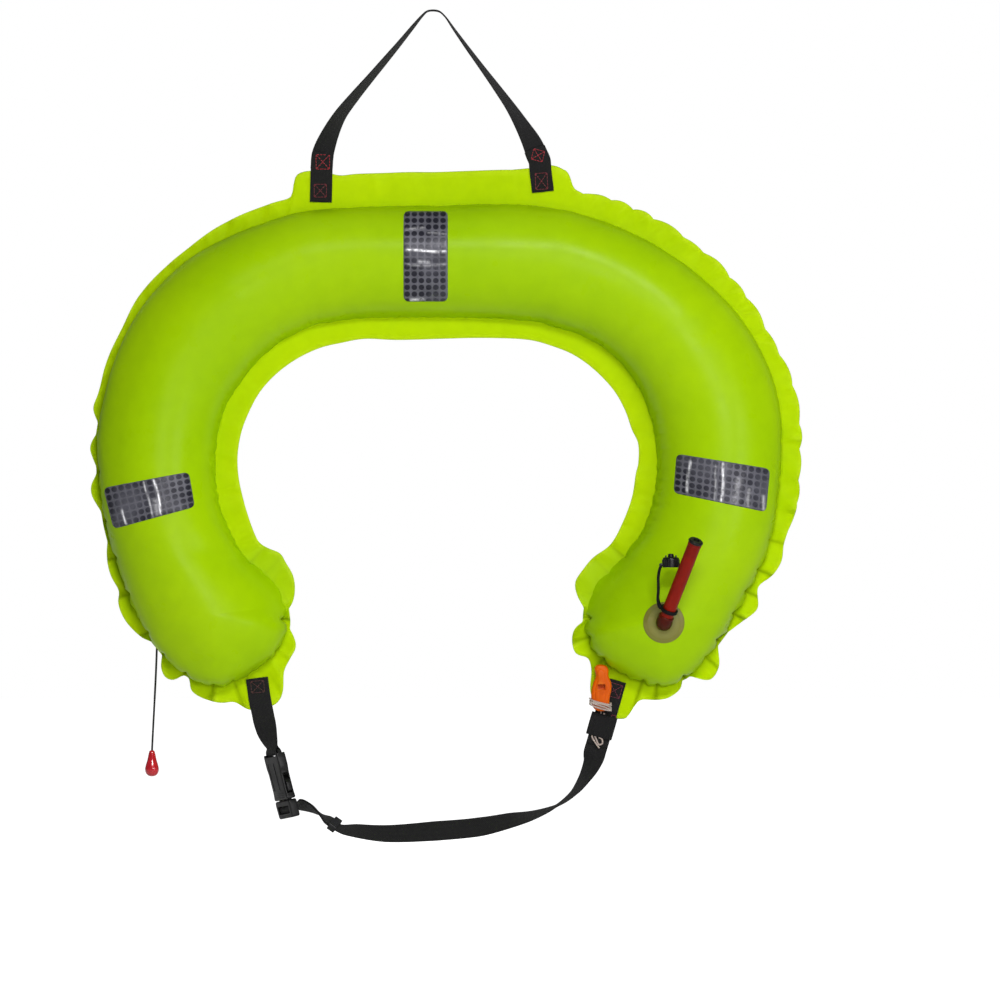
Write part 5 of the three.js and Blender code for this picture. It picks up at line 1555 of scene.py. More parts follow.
HINGE_AXIS = unit(HINGE_R - HINGE_L)
BUCKLE_TOP = np.array([-179.2, 0, -826.6])
BUCKLE_DIR = unit([0.243, 0, -0.970])
BUCKLE_TURN = -62
BUCKLE_W = turned_width(BUCKLE_DIR, BUCKLE_TURN)
BUCKLE_OUT = unit(np.cross(BUCKLE_W, BUCKLE_DIR))
LAYER_OFF = 0.86     # from the middle of a doubled strap to the middle of each layer


def near_hinge(x, dz):
    """Point dz above the line through both hinges."""
    return [x, 0, HINGE_L[2] + (x - HINGE_L[0]) * (HINGE_AXIS[2] / HINGE_AXIS[0]) + dz]


def on_buckle(along, out):
    return BUCKLE_TOP + BUCKLE_DIR * along + BUCKLE_OUT * out


def left_centre():
    """Middle line of the doubled strap, from the flange to the buckle."""
    points = [[-197.2, 0, -746.0], [-193.9, 0, -770.0], near_hinge(-190.9, 2.0),
              near_hinge(-189.5, -5.0), [-188.2, 0, -797.0], [-185.6, 0, -807.5],
              [-182.6, 0, -816.5], on_buckle(-3.0, 0)]
    turns = [3, 1, 0, 0, -12, -30, -48, BUCKLE_TURN]
    last = len(points) - 1
    out = []
    for i, p in enumerate(points):
        tangent = np.array(points[min(i + 1, last)]) - np.array(points[max(i - 1, 0)])
        width = BUCKLE_W if i == last else turned_width(tangent, turns[i])
        out.append((p, width, THIN_WEB))
    return densify(out, 2.0)


def round_bar(path, width_direction):
    return [(on_buckle(along, out), width_direction, LOOP_THICK) for along, out in path]


# round the bar of the buckle's socket: along, out
SOCKET_WRAP = ((-0.6, -2.1), (0.6, -2.95), (2.4, -3.08), (4.3, -2.95), (5.45, -1.9), (5.75, 0.0),
               (5.45, 1.9), (4.3, 2.95), (2.4, 3.08), (0.6, 2.95), (-0.6, 2.1))
centre = left_centre()
closing = np.clip((-np.array([s[0][2] for s in centre]) - 779) / (790 - 779), 0, 1)
closing = closing * closing * (3 - 2 * closing)
# the two layers lie either side of the flange and close on each other below it
off = 1.98 + (LAYER_OFF - 1.98) * closing
path = (offset_stations(centre, off)[::2] + round_bar(SOCKET_WRAP, BUCKLE_W)
        + offset_stations(centre, -off)[::-1][::2])
left_web = finish(ribbon(densify(path, 1.4), width=FOLDED_WIDTH), "belt_left_web",
                  replaces=("left_strap", "left_strap_anchor"))
left_parts = [left_web]
for face, tag in ((-1, "front"), (1, "back")):
    left_parts += sew(f"belt_stitch_left_{tag}", left_web, [-196.4, 0, -755.6], [1, 0, 0.1],
                      14.4, 13.0, face, DULL_THREAD)
for part in left_parts:
    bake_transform(part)


# ------------------------------------------------------------------ belt, buckle to right arm
KEEPER_AT = np.array([-110.3, 0.2, -910.0])
KEEPER_DIR = unit([0.815, -0.05, -0.577])
KEEPER_W = np.array([0.2, 0.94, 0.27])
KEEPER_W = unit(KEEPER_W - KEEPER_DIR * KEEPER_W.dot(KEEPER_DIR))


def on_keeper(along):
    return KEEPER_AT + KEEPER_DIR * along


# the doubled end between the buckle's plug and the keeper
PLUG_END = on_buckle(67.4, 3.0)
END_LINE = [
    (PLUG_END, -BUCKLE_W), ([-155.5, 4.0, -888.2], [-0.32, 0.9, -0.3]),
    ([-148.2, 5.0, -887.9], [-0.14, 0.88, -0.45]), ([-140.0, 4.6, -890.6], [-0.12, 0.93, -0.35]),
    ([-133.0, 4.0, -894.0], [-0.1, 0.97, -0.2]), ([-126.2, 2.6, -898.6], [-0.02, 1, 0.0]),
    ([-120.6, 1.6, -902.6], [0.13, 0.97, 0.17]), ([-117.4, 1.1, -904.9], [0.2, 0.94, 0.27]),
    (on_keeper(-4.0), KEEPER_W), (on_keeper(2.0), KEEPER_W),
]
# round the plug's bar: along, out
PLUG_WRAP = ((66.6, 3.2), (66.0, 2.75), (64.9, 1.6), (64.75, 0.0), (64.9, -1.6), (66.0, -2.75),
             (68.5, -3.08), (71.0, -2.75), (72.0, -1.6), (72.15, 0.0), (72.0, 1.6), (71.0, 2.75),
             (69.6, 3.3))
end_dense = densify([(p, width, THIN_WEB) for p, width in END_LINE], 2.0)
inward, outward = [[s for s in offset_stations(end_dense, side)
                    if np.linalg.norm(s[0] - PLUG_END) > 9] for side in (LAYER_OFF, -LAYER_OFF)]
path = inward[::-1][::2] + round_bar(PLUG_WRAP, -BUCKLE_W) + outward[::2]
end_web = finish(ribbon(densify(path, 1.4), width=FOLDED_WIDTH), "belt_end_web",
                 replaces=("belt_end_loop",))
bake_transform(end_web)

TAB_TOP = np.array([204.4, 0, -748.2])
TAB_DIR = unit([-0.275, 0, -0.962])
TAB_W = unit([-0.962, 0, 0.275])


def on_tab(along, y=0.0, across=0.0):
    return TAB_TOP + TAB_DIR * along + TAB_W * across + np.array([0, y, 0])


BELT_PATH = np.array([
    on_keeper(-6.5), on_keeper(8), [-85.6, 0.5, -917.2], [-52.6, 1.5, -920.2],
    [2.9, 1.5, -917.3], [52.6, 1.0, -912.6], [87.4, 0.6, -905.3], [112.0, 0.3, -899.6],
    [138.3, 0, -889.0], [156.8, 0, -875.2], [170.2, 0, -857.2], [178.6, 0, -840.5],
    near_hinge(181.3, -1.1)], float)
BELT_TURN = [72, 70, 55, 43, 31, 34, 50, 68, 86, 76, 58, 36, 2]   # degrees, one for each point


def belt_stations():
    """The twisting belt from the keeper to the right tab, ending between its layers."""
    samples, per = 48, 24
    dense = catmull(BELT_PATH, per)
    line = []
    for i in range(samples + 1):
        f = i / samples * (len(BELT_PATH) - 1)
        k = min(int(f), len(BELT_PATH) - 2)
        q = f * per
        j = min(int(q), len(dense) - 2)
        point = dense[j] + (dense[j + 1] - dense[j]) * (q - j)
        tangent = unit(dense[min(j + 2, len(dense) - 1)] - dense[max(j - 1, 0)])
        turn = BELT_TURN[k] + (BELT_TURN[k + 1] - BELT_TURN[k]) * (f - k)
        width = KEEPER_W if i < 4 else turned_width(tangent, turn)
        line.append((point, width, WEB_THICK))
    tab_width = TAB_W * (np.sign(np.dot(line[-2][1], TAB_W)) or 1.0)
    line[-1] = (line[-1][0], tab_width, WEB_THICK)
    line += [(on_tab(s), tab_width, WEB_THICK) for s in (73, 66, 58, 50, 44)]
    return densify(line, 2.2)


belt_web = finish(ribbon(belt_stations()), "belt_web", replaces=("belt_webbing",))
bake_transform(belt_web)

# two boxes of stitches: centre, width, height
TAB_BOXES = ((on_tab(11.5, 0, -2.0), 15.0, 15.0), (on_tab(49.0, 0, -9.2), 5.0, 21.0))
for face, tag, node in ((-1, "front", ("right_strap_tab",)), (1, "back", ())):
    stations = [(on_tab(s, face * 2.0), TAB_W, WEB_THICK) for s in np.arange(0, 77.5, 1.9)]
    layer = finish(ribbon(stations, width=FOLDED_WIDTH), f"belt_tab_right_{tag}",
                   "bladder", node)
    for k, (centre, width, height) in enumerate(TAB_BOXES):
        for stitching in sew(f"belt_stitch_right_{k + 1}_{tag}", layer, centre, TAB_W,
                             width, height, face, PLUM_THREAD):
            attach(stitching, "bladder")


# ------------------------------------------------------------------ elastic round the right tab
TAB_BACK = np.cross(TAB_DIR, TAB_W)
outline = rounded([[-13.6, -5.9], [15.1, -5.9], [15.1, 2.8], [-13.6, 2.8]], 2.2, 6)
outline = resample(outline, step=1.2, closed=True)[::-1]
# its ends meet in the middle of the back
first = int(np.argmax(outline[:, 1] * TAB_BACK[1] - 0.02 * abs(outline[:, 0])))
outline = np.roll(outline, -first, axis=0)
outline = np.vstack([outline, outline[:1]])
stations = [(on_tab(53.5) + TAB_W * a + TAB_BACK * b, TAB_DIR, 1.15) for a, b in outline]
finish(ribbon(stations, width=26.0, material=ELASTIC, sections=22), "whistle_elastic",
       "bladder", ("whistle_keeper",))


# ------------------------------------------------------------------ whistle and its cords
# outline from the front, x z
WHISTLE = table("""
    180.9 -734.4, 183.7 -731.0, 193.6 -732.0, 196.4 -736.2, 196.4 -743.0, 199.6 -751.5,
    199.6 -759.4, 197.9 -767.2, 196.2 -780.0, 193.0 -782.4, 183.0 -782.0, 179.0 -778.0,
    177.2 -770.5, 177.4 -760.5, 179.2 -751.5, 182.2 -743.7""")
WHISTLE_CENTRE = np.array([187.4, -757])


def whistle_object():
    """Whistle modelled lying down, local z towards the front, then stood up."""
    shape = resample(catmull(WHISTLE, 6, closed=True), step=1.1, closed=True)
    body = prism(shape.tolist(), 6.7, 16.2, bevel=3.4, segments=7, material=ORANGE)
    inner = WHISTLE_CENTRE + (WHISTLE - WHISTLE_CENTRE) * (0.56, 0.80)
    inner = resample(catmull(inner, 6, closed=True), step=1.2, closed=True)
    crown = prism(inner.tolist(), 14.0, 17.2, bevel=1.9, segments=6, material=ORANGE)
    mouth = box((184.4, 192.8), (-757, -729), (10.2, 13.2), 0.5)
    window = box((184.2, 193.0), (-758.6, -752.6), (10.2, 19.5), 0.4)
    body = cut(fuse(body, [crown]), [mouth, window])
    ribs = [tube(resample(catmull(line), step=1.0), 0.55, 8, ORANGE) for line in (
        [(186.4, -736.5, 16.1), (186.0, -745, 16.82), (185.8, -751, 16.82)],
        [(185.6, -761.5, 16.82), (185.2, -769, 16.82), (184.8, -776.5, 16.28)])]
    body = join([body] + ribs)
    dress(body, ORANGE, frame_of((1, 0, 0), (0, 0, 1), (0, -1, 0), (0, 0, 0)))
    sharp_by_angle(body, 40)
    return body


finish(whistle_object(), "whistle_body", "whistle", ("whistle",))


def cord_wrap():
    """Four turns of cord round the whistle and the tab, square with round corners."""
    turns, per = 4, 48
    points = []
    for i in range(turns * per + 1):
        t = 2 * math.pi * i / per
        c, s = math.cos(t), math.sin(t)
        x = math.copysign(abs(c) ** 0.55, c) * 11.9
        y = math.copysign(abs(s) ** 0.55, s) * 6.7
        z = -771.4 - 2.05 * i / per - 0.27 * x + 0.6 * math.sin(2.3 * t + 0.7)
        points.append((WHISTLE_CENTRE[0] + x, -11.6 + y, z))
    return tube(points, 0.92, 10, WHITE_CORD)


finish(cord_wrap(), "whistle_cord_wrap", "whistle", ("lanyard_wrap",))

# loose ends of the cord on the tab: along, y, across
CORD_TAILS = (
    ((38.5, -4.6, 6), (42, -4.2, 5), (54, -3.9, 4), (65, -4.1, 5.5), (70, -4.8, 2.5),
     (74.5, -5.2, -2.5), (72.2, -5.0, -5.2), (68.0, -4.4, -3.6), (66.6, -4.1, 0.4)),
    ((39.0, -4.9, 2), (46, -4.2, 2.4), (60, -3.9, 7), (67.6, -4.6, 8.0), (73.0, -5.4, 3.0),
     (78.2, -5.2, -3.4)))
tails = [tube(resample(catmull([on_tab(*p) for p in line], 12), step=0.9), 0.95, 10, WHITE_CORD)
         for line in CORD_TAILS]
finish(join(tails), "whistle_cord_tail", "bladder", ("whistle_lanyard",))


# ------------------------------------------------------------------ side-release buckle
# in its own frame: x across, y from the socket's bar to the plug's, z through its thickness
BUCKLE_FRAME = frame_of(BUCKLE_W, BUCKLE_DIR, BUCKLE_OUT, BUCKLE_TOP)


def finish_buckle(obj, name, node, body):
    dress(obj, BUCKLE, BUCKLE_FRAME, sharp=38)
    finish(obj, name, body, (node,))


def buckle_socket():
    shape = rounded([[-15.5, 0], [15.5, 0], [17.2, 8], [17.2, 20], [15.6, 26], [15.6, 49],
                     [17.2, 57], [-17.2, 57], [-15.6, 49], [-15.6, 26], [-17.2, 20],
                     [-17.2, 8]], 3.0, 6)
    body = prism(shape, -5.6, 5.6, bevel=1.9, segments=5)
    body = cut(body, [
        box((-20, 20), (-1.5, 4.5), (1.9, 9)), box((-20, 20), (-1.5, 4.5), (-9, -1.9)),
        box((-13.4, 13.4), (4.5, 7.4), (-9, 9), 0.5),            # strap slot
        box((-13.2, 13.2), (16, 60), (-3.4, 3.4), 0.6),          # hollow for the plug
        box((-20, 20), (27, 50.5), (-3.4, 3.4), 0.5)])           # side openings
    # shallow panels on both faces leave a rib down the middle
    panels = []
    for span in ((5.15, 7.0), (-7.0, -5.15)):
        for corners in ([[-11.5, 14.5], [-2.6, 14.5], [-2.6, 46], [-10.5, 46]],
                        [[2.6, 14.5], [11.5, 14.5], [10.5, 46], [2.6, 46]]):
            panels.append(prism(rounded(corners, 2.0), *span))
    body = cut(body, panels)
    grips = [block((0, y, z), (9.5, 0.5, 0.45), 0.35)
             for y in (49.4, 51.8, 54.2) for z in (5.45, -5.45)]
    finish_buckle(join([body] + grips), "buckle_socket_body", "buckle_socket", "belt")


def buckle_plug():
    shape = rounded([[-17, 57.8], [17, 57.8], [18, 62], [17, 78], [-17, 78], [-18, 62]], 2.6, 6)
    body = prism(shape, -5.2, 5.2, bevel=1.7, segments=5)
    body = cut(body, [
        box((-13.4, 13.4), (63.9, 66.5), (-9, 9), 0.5),          # strap slots beside the bar
        box((-13.4, 13.4), (70.5, 73.0), (-9, 9), 0.5),
        box((-13.4, 13.4), (66.2, 70.8), (1.9, 9)),              # the bar is thinner
        box((-13.4, 13.4), (66.2, 70.8), (-9, -1.9)),
        box((-11.4, -6.1), (57, 59.6), (-3.4, 3.4)),             # roots of the prongs
        box((6.1, 11.4), (57, 59.6), (-3.4, 3.4))])
    guide = prism(rounded([[-2, 58.5], [-2, 31], [-1.2, 30], [1.2, 30], [2, 31], [2, 58.5]],
                          0.5, 3), -2.8, 2.8, bevel=0.5)
    teeth = [block((0, y, z), (13, 0.35, 0.4), 0.25) for y in (75.4, 76.9) for z in (5.1, -5.1)]
    finish_buckle(join([body, guide] + teeth), "buckle_plug_body", "buckle_plug", "buckle_plug")


PRONG = table("""
    6.6 59.2, 10.9 59.2, 10.9 55, 11.6 51.2, 15.4 49.2, 18.6 47.6, 18.6 38.5, 15.4 34.5,
    11.6 31.5, 8.4 30.6, 8.2 34, 10.6 40, 9.6 48, 7.0 55""")


def buckle_prong(side, name):
    prong = prism(rounded([[side * x, y] for x, y in PRONG], 1.2, 4), -2.7, 2.7, bevel=0.7)
    grips = [block((side * 18.45, y, 0), (0.4, 0.45, 2.3), 0.25)
             for y in (40.4, 42.2, 44.0, 45.8)]
    finish_buckle(join([prong] + grips), f"buckle_prong_{name}_arm", f"buckle_prong_{name}",
                  f"prong_{name}")


def belt_keeper():
    ring = prism(rounded([[-14.6, -4.2], [14.6, -4.2], [14.6, 4.2], [-14.6, 4.2]], 2.2, 6),
                 -4.5, 4.5, bevel=0.9, segments=4,
                 hole=rounded([[-13.1, -2.6], [-13.1, 2.6], [13.1, 2.6], [13.1, -2.6]], 0.8, 4))
    bars = [block((0, y, z), (10, 0.3, 0.35), 0.2) for z in (-2.4, 0, 2.4) for y in (4.1, -4.1)]
    ring = join([ring] + bars)
    dress(ring, BUCKLE,
          frame_of(KEEPER_W, np.cross(KEEPER_DIR, KEEPER_W), KEEPER_DIR, KEEPER_AT))
    finish(ring, "belt_keeper_ring", "belt_keeper", ("belt_keeper",))


buckle_socket()
buckle_plug()
buckle_prong(-1, "left")
buckle_prong(1, "right")
belt_keeper()


# ------------------------------------------------------------------ oral inflation tube
TUBE_DIR = unit([36.5, -46, 95.6])
ELBOW = np.array([VALVE_AT[0], -76, VALVE_AT[1]])
TUBE_X = unit(np.cross(TUBE_DIR, [0, -1, 0]))
TUBE_Y = unit(np.cross(TUBE_DIR, TUBE_X))
TUBE_FRAME = frame_of(TUBE_X, TUBE_Y, TUBE_DIR, ELBOW)


def on_tube(along):
    return ELBOW + TUBE_DIR * along


def above_valve(y):
    return np.array([VALVE_AT[0], y, VALVE_AT[1]])


def oral_socket():
    """Bent socket that stands out of the weld disc."""
    knee = bezier(above_valve(-66.0), ELBOW, on_tube(8.6), np.linspace(0, 1, 18)[:, None])
    spine = np.vstack([above_valve(-58.0), above_valve(-61.5), above_valve(-63.8), knee,
                       on_tube(8.9), on_tube(9.6)])
    spine = resample(spine, step=0.7)
    along = path_length(spine)
    radii = np.full(len(spine), 8.35)
    radii += 2.6 * np.exp(-np.clip(along - 3.0, 0, None) / 1.6)            # flared foot
    radii += 0.55 * np.exp(-((along - (along[-1] - 1.6)) / 0.9) ** 2)      # bead at the lip
    radii[-1] -= 0.9
    radii[-2] -= 0.25
    return tube(spine, radii, 56, SHADED_SOCKET_RED)


finish(oral_socket(), "oral_socket", "bladder", ("oral_tube_socket",))

tube_wall = lathe([[5.2, 8.0], [7.1, 8.0], [7.35, 13.5], [7.5, 17.5], [7.55, 60.0], [7.5, 102.4],
                   [7.9, 103.2], [7.9, 104.4], [5.2, 104.4], [5.2, 8.0]],
                  64, RED, TUBE_FRAME, soften=0.5)
tube_band = lathe([[7.45, 101.4], [7.85, 101.8], [7.85, 102.3], [7.45, 102.7]],
                  64, RED, TUBE_FRAME)
tube_body = finish(join([tube_wall, tube_band]), "oral_tube_body",
                   replaces=("oral_tube",))
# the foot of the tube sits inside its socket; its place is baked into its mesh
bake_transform(tube_body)


def mouthpiece():
    ring = lathe([[2.2, 96], [4.8, 96], [4.8, 104.6], [7.8, 104.6], [8.1, 105.4], [8.1, 107.2],
                  [7.4, 108.0], [3.6, 108.0], [3.4, 98], [2.2, 98], [2.2, 96]],
                 56, CAP_PLASTIC, TUBE_FRAME, soften=0.45)
    nibs = []
    for k in range(12):
        a = 2 * math.pi * k / 12
        nib = box((-0.5, 0.5), (-0.5, 0.5), (105.2, 107.0), 0.2, CAP_PLASTIC)
        nibs.append(place(nib, TUBE_FRAME @ shift(8.0 * math.cos(a), 8.0 * math.sin(a), 0)))
    return join([ring] + nibs)


finish(mouthpiece(), "oral_mouthpiece_ring", "oral_tube", ("oral_mouthpiece",))


def cap_ring():
    """Collar round the tube, with a lug and the flat tether up to the cap."""
    collar = lathe([[8.5, 14.8], [9.5, 14.8], [10.1, 15.7], [10.1, 18.3], [9.6, 19.1],
                    [7.9, 19.1], [7.75, 17.6], [8.5, 14.8]],
                   56, BLACK_RUBBER, TUBE_FRAME, soften=0.5)
    side = on_tube(17) - TUBE_X * 12.0
    line = catmull([side + [2.4, 0.4, -1.2], side + [1.3, 0, -0.8], side + [-1.2, -1.5, 7],
                    [251.2, -87.5, -645], [251.0, -89.5, -633], [252.2, -91.0, -624.5],
                    [254.4, -92, -618.5]], 14)
    line = resample(line, step=1.0)
    widths = catmull([[0.25, 0.6, 0.75], [0.25, 0.6, 0.75], [0, 0.9, 0.3], [0, 1, 0.1],
                      [0, 1, 0], [0, 1, 0], [0, 1, 0]], 14)
    widths = resample(widths, count=len(line))
    tether = ribbon([(p, width, 3.2) for p, width in zip(line, widths)],
                    width=5.4, material=BLACK_RUBBER, sections=18)
    lug = [on_tube(17) - TUBE_X * 9.0, side + [1.2, 0, -0.6], side + [0.2, -0.4, 1.5]]
    lug = tube(resample(lug, step=0.8), 2.5, 14, BLACK_RUBBER)
    return join([collar, tether, lug])


finish(cap_ring(), "cap_ring_and_tether", "cap_ring",
       ("tether_collar", "cap_tether"))


def oral_cap():
    body = lathe([[0, 8.3], [7.7, 8.3], [7.7, 0.4], [8.1, 0], [9.0, 0], [9.3, 0.6], [9.3, 9.6],
                  [8.4, 11.2], [4.0, 11.5], [3.5, 12.2], [3.3, 14.2], [2.5, 15.2], [0, 15.4]],
                 60, CAP_PLASTIC, soften=0.6)
    grips = []
    for k in range(20):
        grip = box((-0.55, 0.55), (-0.45, 0.45), (1.4, 8.8), 0.3, CAP_PLASTIC)
        turn = Matrix.Rotation(2 * math.pi * k / 20, 4, "Z")
        grips.append(place(grip, turn @ shift(9.3, 0, 0)))
    tab = box((-13.0, -8.6), (-2.6, 2.6), (1.4, 4.6), 0.9, CAP_PLASTIC)
    pips = [box(span, (-1.0, 1.0), (10.6, 13.4), 0.5, CAP_PLASTIC)
            for span in ((-6.6, -4.6), (4.6, 6.6))]
    return place(join([body, tab] + grips + pips), shift(265, -92, -621.5))


finish(oral_cap(), "oral_cap_body", "oral_cap", ("oral_cap",))


# ------------------------------------------------------------------ inflator on the back
MANIFOLD_AT = (-268.8, -609.5)
MANIFOLD_FRAME = frame_of((1, 0, 0), (0, 0, -1), (0, 1, 0), (MANIFOLD_AT[0], 0, MANIFOLD_AT[1]))
INFLATOR = np.array([-276, 87.1, -622])
ARM = unit([-0.445, 0, 0.8955])                                  # along the inflator, upwards
ACROSS = unit([-ARM[2], 0, ARM[0]])
# local x across, y along the inflator, z to the back
INFLATOR_FRAME = frame_of(ACROSS, ARM, (0, 1, 0), INFLATOR)
ALONG_Y = Matrix(((1, 0, 0, 0), (0, 0, 1, 0), (0, -1, 0, 0), (0, 0, 0, 1)))   # turns z to y
LEVER_PIVOT = (0, -26)

disc = disc_on_skin(*MANIFOLD_AT, 1, radius=30.0, hole=10.0)
boss = lathe([[5.2, 61.0], [15.5, 61.0], [13.0, 65.2], [12.2, 67.0], [12.0, 70.2], [11.2, 71.0],
              [5.2, 71.0], [5.2, 61.0]], 64, DISC, MANIFOLD_FRAME, soften=0.8)
finish(join([disc, boss]), "manifold_disc", "bladder", ("manifold_flange",))


def inflator_housing():
    shape = rounded([[-20, -36], [-12, -40], [12, -40], [17, -34], [17, 22], [13, 30],
                     [-14, 30], [-20, 24]], 4.5, 7)
    body = prism(shape, -14.5, 14.5, bevel=3.0, segments=5)
    neck = lathe([[0, 24], [12.2, 24], [12.2, 31.4], [11.4, 32.4], [0, 32.4]],
                 matrix=ALONG_Y, soften=0.7)
    body = fuse(body, [neck])
    tools = [box((-30, 30), (-50, -11.2), (-3.6, 3.6)),          # slot for the lever
             rod(2.4, -20, 20, shift(*LEVER_PIVOT, 0)),          # hole for its pin
             rod(4.5, -20, 4, ALONG_Y), rod(1.9, 0, 20, ALONG_Y), rod(6.7, 12, 40, ALONG_Y),
             rod(4.95, -20, 20, shift(-12, 8, 0)),
             prism(rounded([[-4, -32], [12.0, -32], [13.6, -20], [13.6, 20], [4.0, 26],
                            [-2.0, 20], [-2.0, -8]], 2.4), 13.9, 16.0)]   # shallow back panel
    body = cut(body, tools)
    ribs = [box((15.8, 17.5), (y - 0.7, y + 0.7), span, 0.4)
            for y in (-30, -26, -22, -18) for span in ((5.4, 11.0), (-11.0, -5.4))]
    window = lathe([[3.2, 14.3], [4.6, 14.3], [4.6, 15.3], [3.2, 15.3], [3.2, 14.3]],
                   40, matrix=shift(4.5, 6, -0.4), soften=0.3)
    return dress(join([body] + ribs + [window]), BODY_PLASTIC, INFLATOR_FRAME, sharp=38)


finish(inflator_housing(), "inflator_housing", "bladder", ("inflator_body",))


def firing_lever():
    """Cam that rises by 6 mm round the pivot, with an arm that ends in a cord hole."""
    cam = []
    for i in range(73):
        d = -110 + (i / 72) * 250
        if d < 0:
            rise = 0
        elif d < 100:
            rise = 6 * d / 100
        else:
            rise = 6 * max(0, 1 - (d - 100) / 40)
        r, a = 8 + rise, math.radians(90 + d)
        cam.append([LEVER_PIVOT[0] + r * math.cos(a), LEVER_PIVOT[1] + r * math.sin(a)])
    lever = prism(cam, -3.0, 3.0, bevel=0.4, segments=2)
    arm = prism(rounded([[-2, -34], [16, -34], [24.5, -27], [26, 10], [34.6, 15.5], [34.6, 24],
                         [25.5, 24], [19.8, 13], [18.4, -19], [6, -22], [-2, -23]], 3.0, 6),
                -2.5, 2.5, bevel=0.8, segments=4)
    lever = cut(fuse(lever, [arm]), [rod(2.35, -8, 8, shift(*LEVER_PIVOT, 0)),
                                     rod(2.1, -8, 8, shift(30, 19.5, 0))])
    grips = [box((25.0, 26.3), (y - 0.6, y + 0.6), (-2.1, 2.1), 0.4)
             for y in (-14, -10, -6, -2, 2, 6)]
    return dress(join([lever] + grips), LEVER_PLASTIC, INFLATOR_FRAME, sharp=38)


finish(firing_lever(), "firing_lever_arm", "firing_lever", ("firing_lever",))

# inner wall from the closed end to the neck, threaded neck, outer wall: r z
GAS_PROFILE = table("""
    0 147.6, 5.0 147.0, 9.8 144.4, 12.8 141, 13.9 135.5, 13.8 47, 11.6 41.5, 6.4 36.8, 2.3 34,
    2.3 14.8, 5.4 14.8, 6.3 15.8, 5.7 16.6, 6.3 17.5, 5.7 18.4, 6.3 19.3, 5.7 20.2, 6.3 21.1,
    5.7 22.0, 6.3 22.9, 5.7 23.8, 6.3 24.7, 6.3 31, 8.0 34.5, 13.2 39.5, 15.4 45, 15.8 49,
    15.8 132, 15.2 139.5, 13.2 144.6, 9.6 148.0, 5.0 149.7, 0 150""")
gas = lathe(GAS_PROFILE, 72, GAS_METAL, INFLATOR_FRAME @ ALONG_Y, soften=0.5)
finish(gas, "gas_cylinder_shell", "gas_cylinder", ("gas_cylinder",))


def cap_nut():
    """Domed hexagon nut on the manifold's stem."""
    hexagon = [[10.4 * math.cos(math.pi / 3 * k), 10.4 * math.sin(math.pi / 3 * k)]
               for k in range(6)]
    nut = prism(rounded(hexagon, 0.8, 3), 102.0, 108.6, bevel=0.7)
    dome = lathe([[0, 107.0], [7.6, 107.0], [7.6, 108.9], [7.0, 110.2], [5.2, 111.3],
                  [0, 111.4]], soften=0.5)
    nut = cut(fuse(nut, [dome]), [rod(5.0, 101, 106)])
    return dress(nut, BRASS, MANIFOLD_FRAME, sharp=35)


finish(cap_nut(), "cap_nut", "retaining_nut", ("retaining_nut",))


# ------------------------------------------------------------------ pull cord and bead
def pull_cord():
    """Eye through the lever's hole, a knot under it and the line down to the bead."""
    x, y, z = INFLATOR + ACROSS * 30 + ARM * 19.5
    loop = [(x, y + 5.0 * math.cos(t), z - 4.4 + 5.0 * math.sin(t))
            for t in np.linspace(0, 2 * math.pi, 49)[:-1]]
    eye = tube(loop, 0.9, 10, BLACK_CORD, closed=True)
    coil = [(x + 1.7 * math.cos(t * 2.0), y + 1.7 * math.sin(t * 2.0), z - 9.0 - 0.75 * t)
            for t in np.linspace(0, 6.28, 20)]
    knot = tube(resample(catmull(coil, 4), step=0.5), 0.85, 8, BLACK_CORD)
    hang = [(x, y, z - 9.3), (-312, 87.1, -710), (-317.6, 87.1, -831.0)]
    line = tube(resample(catmull(hang, 30), step=2.0), 1.2, 10, BLACK_CORD)
    return join([eye, knot, line])


finish(pull_cord(), "pull_cord_line", "pull_cord", ("pull_cord",))
bead = lathe([[1.4, -0.2], [2.6, -0.4], [3.3, -2.2], [4.0, -5], [5.2, -11], [7.0, -16.8],
              [7.85, -20.6], [7.6, -24.2], [6.0, -27.4], [3.4, -29.2], [0, -29.7]],
             64, bead_red(), shift(-317.6, 87.1, -828.8), soften=1.6, steps=6)
finish(bead, "pull_bead_shape", "pull_cord", ("pull_bead",))


# ------------------------------------------------------------------ CAD pieces that stay
# They sit inside the fittings and get the same materials as their neighbours.
for node, material in {"oral_valve_flange": DISC, "valve_poppet": BLACK_RUBBER,
                       "valve_spring": STEEL, "manifold_gasket": BLACK_RUBBER,
                       "manifold_stem": BRASS, "lever_pin": STEEL, "piercing_pin": STEEL,
                       "pin_spring": STEEL, "cylinder_seal": BLACK_RUBBER}.items():
    kept = NODES[node]
    if not kept.hide_render:
        kept.data.materials.clear()
        kept.data.materials.append(material)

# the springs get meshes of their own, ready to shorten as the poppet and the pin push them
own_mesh(NODES["valve_spring"])
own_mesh(NODES["pin_spring"])


